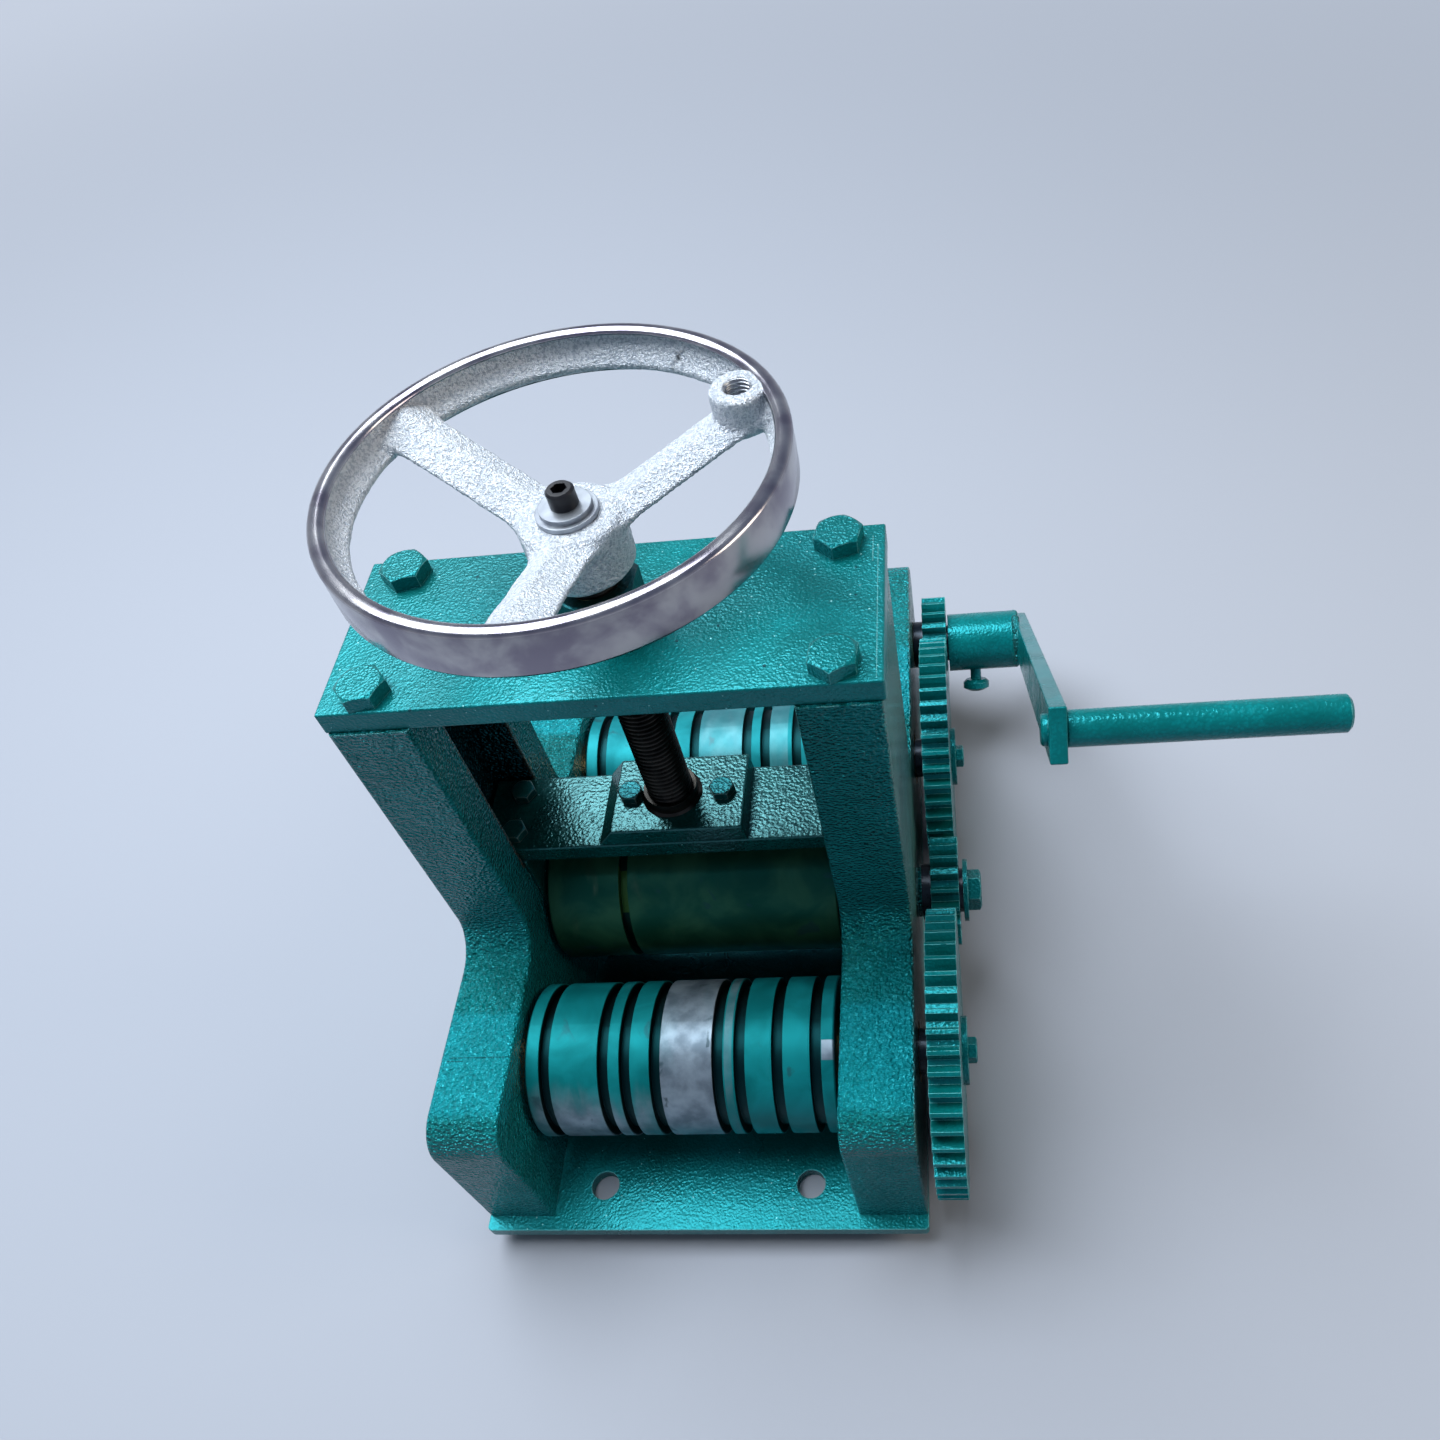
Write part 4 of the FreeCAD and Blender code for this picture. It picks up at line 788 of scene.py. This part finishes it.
def loft(shape, sections):
    """Join closed loops of points, in metres, and cap both ends."""
    loops = [[shape.verts.new(point) for point in section] for section in sections]
    for here, there in zip(loops, loops[1:]):
        for index, after in next_pairs(len(here)):
            shape.faces.new((here[index], here[after], there[after], there[index]))
    shape.faces.new(loops[0])
    shape.faces.new(list(reversed(loops[-1])))


# %% [markdown]
# A modifier is the quickest way to join, melt or smooth a mesh. A helper object
# wears it for a moment, and only the mesh that comes out is kept. A finished piece
# stays at the origin, unturned, in the same frame as the solids, and rides on the
# body that carries it.

# %% From a skin to a piece
def finished_mesh(name, shape):
    bmesh.ops.recalc_face_normals(shape, faces=shape.faces)
    mesh = bpy.data.meshes.new(name)
    shape.to_mesh(mesh)
    shape.free()
    mesh.shade_smooth()
    return mesh


def after_modifiers(mesh, *modifiers):
    helper = in_scene("helper", mesh)
    for kind, settings in modifiers:
        modifier = helper.modifiers.new(kind, kind)
        for name, value in settings.items():
            setattr(modifier, name, value)
    ready = helper.evaluated_get(bpy.context.evaluated_depsgraph_get())
    result = bpy.data.meshes.new_from_object(ready)
    bpy.data.objects.remove(helper)
    return result


def melted(mesh, voxel, smoothing):
    """One skin over all that the mesh holds, with its corners smoothed."""
    return after_modifiers(
        mesh,
        ("REMESH", {"mode": "VOXEL", "voxel_size": voxel * MM}),
        ("SMOOTH", {"factor": 0.5, "iterations": smoothing}),
    )


def place_piece(name, mesh, material, body, slot, *replaced):
    piece = in_scene(name, mesh)
    mesh.materials.clear()
    mesh.materials.append(material)
    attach(piece, body)
    if replaced:
        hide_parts(*replaced)
    print(name, "faces:", len(mesh.polygons))


# %% [markdown]
# ## The cast handwheel
#
# A casting has no sharp inner corner: sand can't hold one. So the hub, the three
# spokes, the coved ring and the handle boss are made as plain closed skins that run
# into each other. Voxels melt them into one, and a little smoothing leaves fillets.
#
# A spoke is a bar with a ridged back that climbs from hub to rim. It is a loft of
# sections that swell near both ends, where it has to blend into its neighbours.

# %% Spokes
WHEEL_FOOT = wheel_low.z / MM
WHEEL_TOP = wheel_high.z / MM
WHEEL_RADIUS = (wheel_high.x - wheel_low.x) / 2 / MM
SPOKE_ANGLES = [math.radians(angle) for angle in (28.0, 148.0, 268.0)]
SPOKE_STATIONS = (12, 15, 18, 20, 22.5, 26, 34, 44, 54, 61, 65, 68, 71, 74, 76)
SPOKE_CLIMB_FROM = 13
SPOKE_CLIMB = 0.311
SPOKE_RISE = 15.3
SPOKE_HALF = 10.3
SPOKE_SIDE = 1.8
SPOKE_RIDGE = 5.6
RIDGE_HALF = 0.6
RIDGE_SHIFT = 1.6
HUB_BLEND_FROM, HUB_BLEND = 15, 9
RIM_BLEND_TO, RIM_BLEND = 76, 14
RIM_BLEND_DROP = 3.0


def spoke_section(angle, radius):
    """Six corners across the spoke, at one distance from the middle of the wheel."""
    outward = Vector((math.cos(angle), math.sin(angle), 0))
    across = Vector((-math.sin(angle), math.cos(angle), 0))
    near_hub = max(0.0, 1 - (radius - HUB_BLEND_FROM) / HUB_BLEND) ** 2
    near_rim = max(0.0, 1 - (RIM_BLEND_TO - radius) / RIM_BLEND) ** 2
    climb = (radius - SPOKE_CLIMB_FROM) * SPOKE_CLIMB
    under = WHEEL_FOOT + SPOKE_RISE + climb - RIM_BLEND_DROP * near_rim
    half = SPOKE_HALF + 2.2 * near_hub + 3.2 * near_rim
    side = under + SPOKE_SIDE + 1.5 * near_hub + 5.0 * near_rim
    ridge = under + SPOKE_RIDGE + 1.8 * near_hub + 6.0 * near_rim
    corners = (
        (-half, under), (half, under), (half, side),
        (RIDGE_HALF - RIDGE_SHIFT, ridge), (-RIDGE_HALF - RIDGE_SHIFT, ridge), (-half, side),
    )
    return [
        (outward * radius + across * offset + Vector((0, 0, height))) * MM
        for offset, height in corners
    ]


spokes = []
for spoke_angle in SPOKE_ANGLES:
    spoke_shape = bmesh.new()
    loft(spoke_shape, [spoke_section(spoke_angle, radius) for radius in SPOKE_STATIONS])
    spokes.append(finished_mesh("spoke", spoke_shape))
print("spokes:", len(spokes), "sections each:", len(SPOKE_STATIONS))


# %% [markdown]
# The hub, the boss for the loose handle and the ring inside the rim are round, so
# each is a profile on the lathe. The ring's inner side is a cove, a shallow hollow:
# a straight slope with a sine curve taken out of it.

# %% Ring, hub and boss
HUB_TOP = WHEEL_FOOT + 22.4
HUB_RADIUS = 18.4
HUB_BORE = 8.6
BOSS_ORBIT = 67.5
BOSS_RADIUS = 10.1
BOSS_BORE = 5.0
BOSS_TOP = WHEEL_TOP - 0.6
BOSS_FOOT = WHEEL_TOP - 15.1
RING_TOP_DROP = 1.6
COVE_START, COVE_WIDTH, COVE_DEPTH = 4.4, 4.5, 10.2
COVE_SAG, SAG_INWARDS, SAG_UPWARDS = 1.8, 0.94, 0.3
COVE_SHARES = (0.15, 0.3, 0.45, 0.6, 0.75, 0.9)


def turned_skin(name, profile, steps, middle=(0.0, 0.0)):
    shape = bmesh.new()
    lathe(shape, profile, steps, middle)
    return finished_mesh(name, shape)


def ring_profile():
    top = WHEEL_TOP - RING_TOP_DROP
    points = [(WHEEL_RADIUS - 2.2, top), (WHEEL_RADIUS - 4.0, top)]
    for share in COVE_SHARES:
        sag = COVE_SAG * math.sin(math.pi * share)
        points.append((
            WHEEL_RADIUS - COVE_START - COVE_WIDTH * share + sag * SAG_INWARDS,
            top - 0.4 - COVE_DEPTH * share + sag * SAG_UPWARDS,
        ))
    foot = [(9.0, 11.9), (9.0, 14.0), (3.0, 17.8), (2.2, 17.4)]
    return points + [(WHEEL_RADIUS - inset, WHEEL_TOP - drop) for inset, drop in foot]


boss_middle = [BOSS_ORBIT * turned(SPOKE_ANGLES[0]) for turned in (math.cos, math.sin)]
ring = turned_skin("ring", ring_profile(), 160)
hub = turned_skin("hub", [
    (HUB_BORE, WHEEL_FOOT), (HUB_RADIUS - 1.5, WHEEL_FOOT), (HUB_RADIUS, WHEEL_FOOT + 1.5),
    (HUB_RADIUS + 0.2, HUB_TOP - 2.6), (HUB_RADIUS - 0.7, HUB_TOP - 0.8),
    (HUB_RADIUS - 2.8, HUB_TOP), (HUB_BORE, HUB_TOP),
], 96)
boss = turned_skin("boss", [
    (BOSS_BORE, BOSS_FOOT), (BOSS_RADIUS - 0.6, BOSS_FOOT), (BOSS_RADIUS, BOSS_FOOT + 0.6),
    (BOSS_RADIUS, BOSS_TOP - 0.9), (BOSS_RADIUS - 0.9, BOSS_TOP), (BOSS_BORE, BOSS_TOP),
], 64, boss_middle)
print("boss at", [round(value, 1) for value in boss_middle], "mm")


# %% [markdown]
# A spoke and the ring run through the boss, so its hole is drilled in them as well.
# The drilling is done on the plain skins, where a boolean is quick and clean. Then
# all of them go into one mesh and melt together.

# %% Drill and melt
DRILL_EXTRA = 6
WHEEL_VOXEL = 0.75
WHEEL_SMOOTHING = 4

drill_shape = bmesh.new()
drill_middle = Vector((*boss_middle, (BOSS_TOP + BOSS_FOOT) / 2)) * MM
bmesh.ops.create_cone(
    drill_shape, cap_ends=True, segments=48, radius1=BOSS_BORE * MM, radius2=BOSS_BORE * MM,
    depth=(BOSS_TOP - BOSS_FOOT + DRILL_EXTRA) * MM, matrix=Matrix.Translation(drill_middle))
drill = in_scene("boss drill", finished_mesh("boss drill", drill_shape))
drilled = ("BOOLEAN", {"operation": "DIFFERENCE", "object": drill})
wheel_shape = bmesh.new()
for skin in (after_modifiers(ring, drilled), hub, boss,
             *[after_modifiers(spoke, drilled) for spoke in spokes]):
    wheel_shape.from_mesh(skin)
bpy.data.objects.remove(drill)
all_skins = bpy.data.meshes.new("wheel skins")
wheel_shape.to_mesh(all_skins)
wheel_shape.free()
cast_wheel = melted(all_skins, WHEEL_VOXEL, WHEEL_SMOOTHING)
print("melted wheel, faces:", len(cast_wheel.polygons))


# %% [markdown]
# Sand leaves the casting a little lumpy, and real lumps catch the light better than
# a bump does. Noise pushes each point along its normal, except in the hub's bore.
# All places are read before any is written: a write makes Blender find the normals
# again.

# %% Lumpy skin
LUMPS = ((140.0, 0.22), (420.0, 0.12))
BORE_MARGIN = 1

lumpy = []
for place, normal in [(point.co.copy(), point.normal.copy()) for point in cast_wheel.vertices]:
    lump = sum(noise.noise(place * scale) * height for scale, height in LUMPS)
    in_bore = place.xy.length < (HUB_BORE + BORE_MARGIN) * MM
    lumpy.extend(place if in_bore else place + normal * (lump * MM))
cast_wheel.vertices.foreach_set("co", lumpy)
cast_wheel.update()
cast_wheel.shade_smooth()
place_piece("wheel_casting", cast_wheel, metals["silver"], "spindle", "wheel_casting", "handwheel")


# %% [markdown]
# The outside of the rim is turned and polished, and rolls over the top as a bead.
# It shines like a mirror, so it is a piece of its own, lathed with many steps.

# %% Polished band
BEAD_WIDTH = 3.0
BEAD_HEIGHT = 2.0
BEAD_STEP = 12
BAND_INSET = 2.8

band_points = [
    (WHEEL_RADIUS - BAND_INSET, WHEEL_TOP - 18.3), (WHEEL_RADIUS - 1.3, WHEEL_TOP - 18.3),
    (WHEEL_RADIUS - 0.4, WHEEL_TOP - 17.9), (WHEEL_RADIUS, WHEEL_TOP - 17.0),
]
for degrees in range(0, 181, BEAD_STEP):
    bead_turn = math.radians(degrees)
    band_points.append((
        WHEEL_RADIUS - BEAD_WIDTH + BEAD_WIDTH * math.cos(bead_turn),
        WHEEL_TOP - BEAD_HEIGHT + BEAD_HEIGHT * math.sin(bead_turn),
    ))
band_points.append((WHEEL_RADIUS - BAND_INSET, WHEEL_TOP - BEAD_HEIGHT - 1.5))
place_piece("wheel_band", turned_skin("wheel band", band_points, 224), metals["chrome"],
            "spindle", "wheel_casting", "handwheel")


# %% [markdown]
# ## Threads
#
# The radius of a thread depends on two things only: how high the point is and how
# far round it is. After one full turn the pattern has risen by exactly one pitch, so
# a lathe whose profile knows its own turn makes a thread that meets itself.

# %% Thread profile
ROWS_PER_TURN = 10
CREST_FLAT, FLANK_SPAN = 0.18, 0.64


def thread_profile(core, root, crest, pitch, low, high):
    """A profile for `lathe`: a rod for a core inside the root, a sleeve for one outside."""
    rows = int(round((high - low) / pitch * ROWS_PER_TURN))

    def profile(turned):
        points = [(core, low)]
        for row in range(rows + 1):
            height = low + (high - low) * row / rows
            phase = ((height - low) / pitch - turned) % 1.0
            flank = min(max((abs(2 * phase - 1) - CREST_FLAT) / FLANK_SPAN, 0.0), 1.0)
            points.append((root + (crest - root) * flank, height))
        return points + [(core, high)]

    return profile


# %% [markdown]
# The pressure screw has a flanged foot under the keeper plate, a long thread that
# runs through the nut, and a plain seat for the wheel. The empty hole in the boss
# has a finer thread, for the handle that screws in there.

# %% Threaded screw and threaded boss
FOOT_RADIUS = 13.4
SEAT_RADIUS = 7.9
FOOT_CORE = 1.0
SCREW_CORE = 3.4
SCREW_ROOT, SCREW_CREST, SCREW_PITCH = 8.5, 9.95, 2.5
BOSS_PITCH = 1.5

screw_foot, screw_top = screw_low.z / MM, screw_high.z / MM
collar_foot = collar_low.z / MM
rod_low = collar_high.z / MM - 1.0
screw_shape = bmesh.new()
lathe(screw_shape, [
    (FOOT_CORE, screw_foot), (FOOT_RADIUS, screw_foot), (FOOT_RADIUS, collar_foot),
    (SCREW_ROOT, collar_foot), (SCREW_ROOT, rod_low + 1), (FOOT_CORE, rod_low + 1),
], 48)
screw_thread = thread_profile(SCREW_CORE, SCREW_ROOT, SCREW_CREST, SCREW_PITCH, rod_low, WHEEL_FOOT)
lathe(screw_shape, screw_thread, 64)
lathe(screw_shape, [
    (SCREW_CORE, WHEEL_FOOT - 1), (SEAT_RADIUS, WHEEL_FOOT - 1), (SEAT_RADIUS, screw_top),
    (SCREW_CORE, screw_top),
], 48)
place_piece("threaded_screw", finished_mesh("threaded screw", screw_shape), metals["dark"],
            "spindle", "black_steel", "pressure_screw")

hole_thread = thread_profile(BOSS_BORE + 0.3, BOSS_BORE - 0.05, BOSS_BORE - 0.75, BOSS_PITCH,
                             BOSS_FOOT + 0.3, BOSS_TOP - 0.5)
place_piece("boss_thread", turned_skin("boss thread", hole_thread, 40, boss_middle),
            metals["thread"], "spindle", "wheel_casting", "handwheel")


# %% [markdown]
# ## The weld on the crank
#
# Two beads of weld hold the flat arm on the round sleeve, one on each side of the
# arm. A bead is a row of drops laid along an arc, each a little different. Geometry
# Nodes put a drop at each point of an arc, with a random size, and one voxel skin
# then runs over them all, as the metal did.

# %% The tree of a weld bead
def weld_tree():
    tree = bpy.data.node_groups.new("weld bead", "GeometryNodeTree")
    sizes = {"Arc radius": 0.0168, "Start angle": 0.0, "Sweep angle": 1.2, "Drop size": 0.0019,
             "Unevenness": 0.25, "Drops": 14, "Seed": 7}
    for label, default in sizes.items():
        kind = "NodeSocketInt" if isinstance(default, int) else "NodeSocketFloat"
        socket = tree.interface.new_socket(label, in_out="INPUT", socket_type=kind)
        socket.default_value = default
    tree.interface.new_socket("Finish", in_out="INPUT", socket_type="NodeSocketMaterial")
    tree.interface.new_socket("Geometry", in_out="OUTPUT", socket_type="NodeSocketGeometry")
    source = tree.nodes.new("NodeGroupInput").outputs
    arc = put(tree, "GeometryNodeCurveArc", {
        "Resolution": 64, "Radius": source["Arc radius"],
        "Start Angle": source["Start angle"], "Sweep Angle": source["Sweep angle"],
    }).outputs["Curve"]
    inputs = {"Curve": arc, "Count": source["Drops"]}
    points = put(tree, "GeometryNodeCurveToPoints", inputs, mode="COUNT").outputs["Points"]
    inputs = {"Radius": source["Drop size"], "Subdivisions": 3}
    drop = put(tree, "GeometryNodeMeshIcoSphere", inputs).outputs["Mesh"]
    least = math_node(tree, "SUBTRACT", 1.0, source["Unevenness"])
    most = math_node(tree, "ADD", 1.0, source["Unevenness"])
    inputs = {"Min": least, "Max": most, "Seed": source["Seed"]}
    size = put(tree, "FunctionNodeRandomValue", inputs, data_type="FLOAT").outputs["Value"]
    inputs = {"Points": points, "Instance": drop, "Scale": size}
    drops = put(tree, "GeometryNodeInstanceOnPoints", inputs).outputs["Instances"]
    real = put(tree, "GeometryNodeRealizeInstances", {"Geometry": drops}).outputs["Geometry"]
    done = put(tree, "GeometryNodeSetMaterial", {"Geometry": real, "Material": source["Finish"]})
    sink = tree.nodes.new("NodeGroupOutput")
    tree.links.new(done.outputs["Geometry"], sink.inputs["Geometry"])
    return tree


bead_tree = weld_tree()
print("weld tree, nodes:", len(bead_tree.nodes))


# %% [markdown]
# The tree runs on an empty mesh. Each input is set by its socket's identifier, its
# result becomes a plain mesh, and the modifier goes. The arc lies flat in X and Y,
# so a matrix stands it up across the sleeve's axis, at the foot of the arm.

# %% Weld beads
ARM_LEAN = math.radians(36.7)
BEAD_HALF_SWEEP = 0.85
BEAD_DROPS = 17
BEAD_SEEDS = (3, 8)
BEAD_INSET = 0.6 * MM
WELD_VOXEL = 0.3
WELD_SMOOTHING = 2
ACROSS_SLEEVE = Matrix(((0, 0, 1), (1, 0, 0), (0, 1, 0))).to_4x4()


def weld_bead(finish, **values):
    helper = in_scene("weld helper", bpy.data.meshes.new("weld helper"))
    modifier = helper.modifiers.new("weld", "NODES")
    modifier.node_group = bead_tree
    values["Finish"] = finish
    for item in bead_tree.interface.items_tree:
        name = item.name.replace(" ", "_")
        if item.in_out == "INPUT" and name in values:
            modifier[item.identifier] = values[name]
    ready = helper.evaluated_get(bpy.context.evaluated_depsgraph_get())
    mesh = bpy.data.meshes.new_from_object(ready)
    helper.modifiers.clear()
    bpy.data.objects.remove(helper)
    return mesh


weld_steel = enamel("enamel on weld", 0.0006, 700.0, wear=0.55, shade=(0.01, 0.12, 0.12),
                    deep=(0.01, 0.02, 0.02), wear_and_highlight_colour=(0.75, 0.77, 0.74), roughness=0.35)
arm_angle = math.pi - ARM_LEAN
arm_foot = Matrix.Translation((arm_low.x - BEAD_INSET, sleeve_middle.y, sleeve_middle.z))
weld_shape = bmesh.new()
for seed, middle_angle in zip(BEAD_SEEDS, (arm_angle, arm_angle + math.pi)):
    bead = weld_bead(weld_steel, Start_angle=middle_angle - BEAD_HALF_SWEEP,
                     Sweep_angle=2 * BEAD_HALF_SWEEP, Seed=seed, Drops=BEAD_DROPS)
    bead.transform(arm_foot @ ACROSS_SLEEVE)
    weld_shape.from_mesh(bead)
weld = melted(finished_mesh("weld drops", weld_shape), WELD_VOXEL, WELD_SMOOTHING)
weld.shade_smooth()
place_piece("crank_weld", weld, weld_steel, "crank", "green_enamel")


# %% [markdown]
# ## Floor
#
# The gears hang below the base plate, so the machine stands on a low pale block, as
# it would on the edge of a bench. The Light Path node tells what sees the floor: it
# is pale to the eye and in mirrors, and throws less light back up at the machine.
# Past the lamps' reach it fades into the backdrop, so that no dark band is left.

# %% Floor
FLOOR_COLOUR = (0.34, 0.36, 0.42)
FLOOR_SHADE = (0.16, 0.18, 0.20)
BACKDROP_LOW = (0.46, 0.50, 0.58)
FLOOR_HALF = 30.0
FLOOR_THICK = 0.02
FLOOR_FADE = (0.5, 2.4)
FLOOR_DROP = 11 * MM
BENCH_INSET = 8 * MM
BENCH_GAP = 0.05 * MM


def seen_or_mirrored(tree):
    """1 for a ray from the eye, from a mirror or through glass, 0 for scattered light."""
    ray = put(tree, "ShaderNodeLightPath").outputs
    shown = math_node(tree, "MAXIMUM", ray["Is Camera Ray"], ray["Is Glossy Ray"])
    return math_node(tree, "MAXIMUM", shown, ray["Is Transmission Ray"])


def stage_block(name, low, high):
    box = bmesh.new()
    bmesh.ops.create_cube(box, size=1.0)
    for vertex in box.verts:
        vertex.co = Vector([low[axis] if vertex.co[axis] < 0 else high[axis] for axis in range(3)])
    mesh = bpy.data.meshes.new(name)
    box.to_mesh(mesh)
    box.free()
    mesh.materials.append(pale)
    in_scene(name, mesh)


pale, pale_tree, pale_shader = new_material("pale floor")
shown = seen_or_mirrored(pale_tree)
pale_colour = blend_colours(pale_tree, shown, FLOOR_SHADE, FLOOR_COLOUR)
distance = vector_node(pale_tree, "LENGTH", object_place(pale_tree))["Value"]
fade = math_node(pale_tree, "MULTIPLY", ramp(pale_tree, distance, *FLOOR_FADE), shown)
glow = blend_colours(pale_tree, fade, NOTHING, BACKDROP_LOW)
wire(pale_tree, pale_shader, Base_Color=pale_colour, Emission_Color=glow)
pale_shader.inputs["Emission Strength"].default_value = 1.0
pale_shader.inputs["Roughness"].default_value = 0.9

stage_block("floor", (-FLOOR_HALF, -FLOOR_HALF, -FLOOR_DROP - FLOOR_THICK),
            (FLOOR_HALF, FLOOR_HALF, -FLOOR_DROP))
stage_block("bench_block", (base_low.x + BENCH_INSET, base_low.y + BENCH_INSET, -FLOOR_DROP),
            (base_high.x - BENCH_INSET, base_high.y - BENCH_INSET, -BENCH_GAP))
print("floor", FLOOR_DROP / MM, "mm below the base plate")


# %% [markdown]
# ## Light
#
# The backdrop is pale and a little blue to the eye, and only a dim fill for the
# machine. The broad lamp hangs above and behind, as in a workshop: level surfaces
# shine, and upright ones that face the eye stay deep. A small warm lamp at the right
# stands for a window and picks out the teeth of the gears.

# %% Backdrop and lamps
BACKDROP_HIGH = (0.22, 0.26, 0.36)
BACKDROP_RISE = 0.7
FILL_LIGHT = (0.15, 0.19, 0.22)
COOL = (0.90, 0.96, 1.0)
WARM = (1.0, 0.86, 0.68)
AIM = Vector((0, 0, 0.1))
LAMPS = [
    ("overhead lamp", (-0.40, 0.28, 1.40), 1.1, 41.0, COOL),
    ("window lamp", (1.20, 0.00, 0.70), 0.6, 6.0, WARM),
]

world = bpy.data.worlds.new("studio")
bpy.context.scene.world = world
world.use_nodes = True
sky = world.node_tree
direction = put(sky, "ShaderNodeTexCoord").outputs["Generated"]
upward = put(sky, "ShaderNodeSeparateXYZ", {0: direction}).outputs["Z"]
backdrop = blend_colours(sky, ramp(sky, upward, 0.0, BACKDROP_RISE), BACKDROP_LOW, BACKDROP_HIGH)
background = sky.nodes["Background"]
sky_colour = blend_colours(sky, seen_or_mirrored(sky), FILL_LIGHT, backdrop)
sky.links.new(sky_colour, background.inputs["Color"])
background.inputs["Strength"].default_value = 1.0

for name, place, size, power, tint in LAMPS:
    lamp_data = bpy.data.lights.new(name, "AREA")
    lamp_data.energy = power
    lamp_data.size = size
    lamp_data.color = tint
    lamp = in_scene(name, lamp_data)
    lamp.location = place
    lamp.rotation_euler = (AIM - Vector(place)).to_track_quat("-Z", "Y").to_euler()
print("lamps:", len(LAMPS))
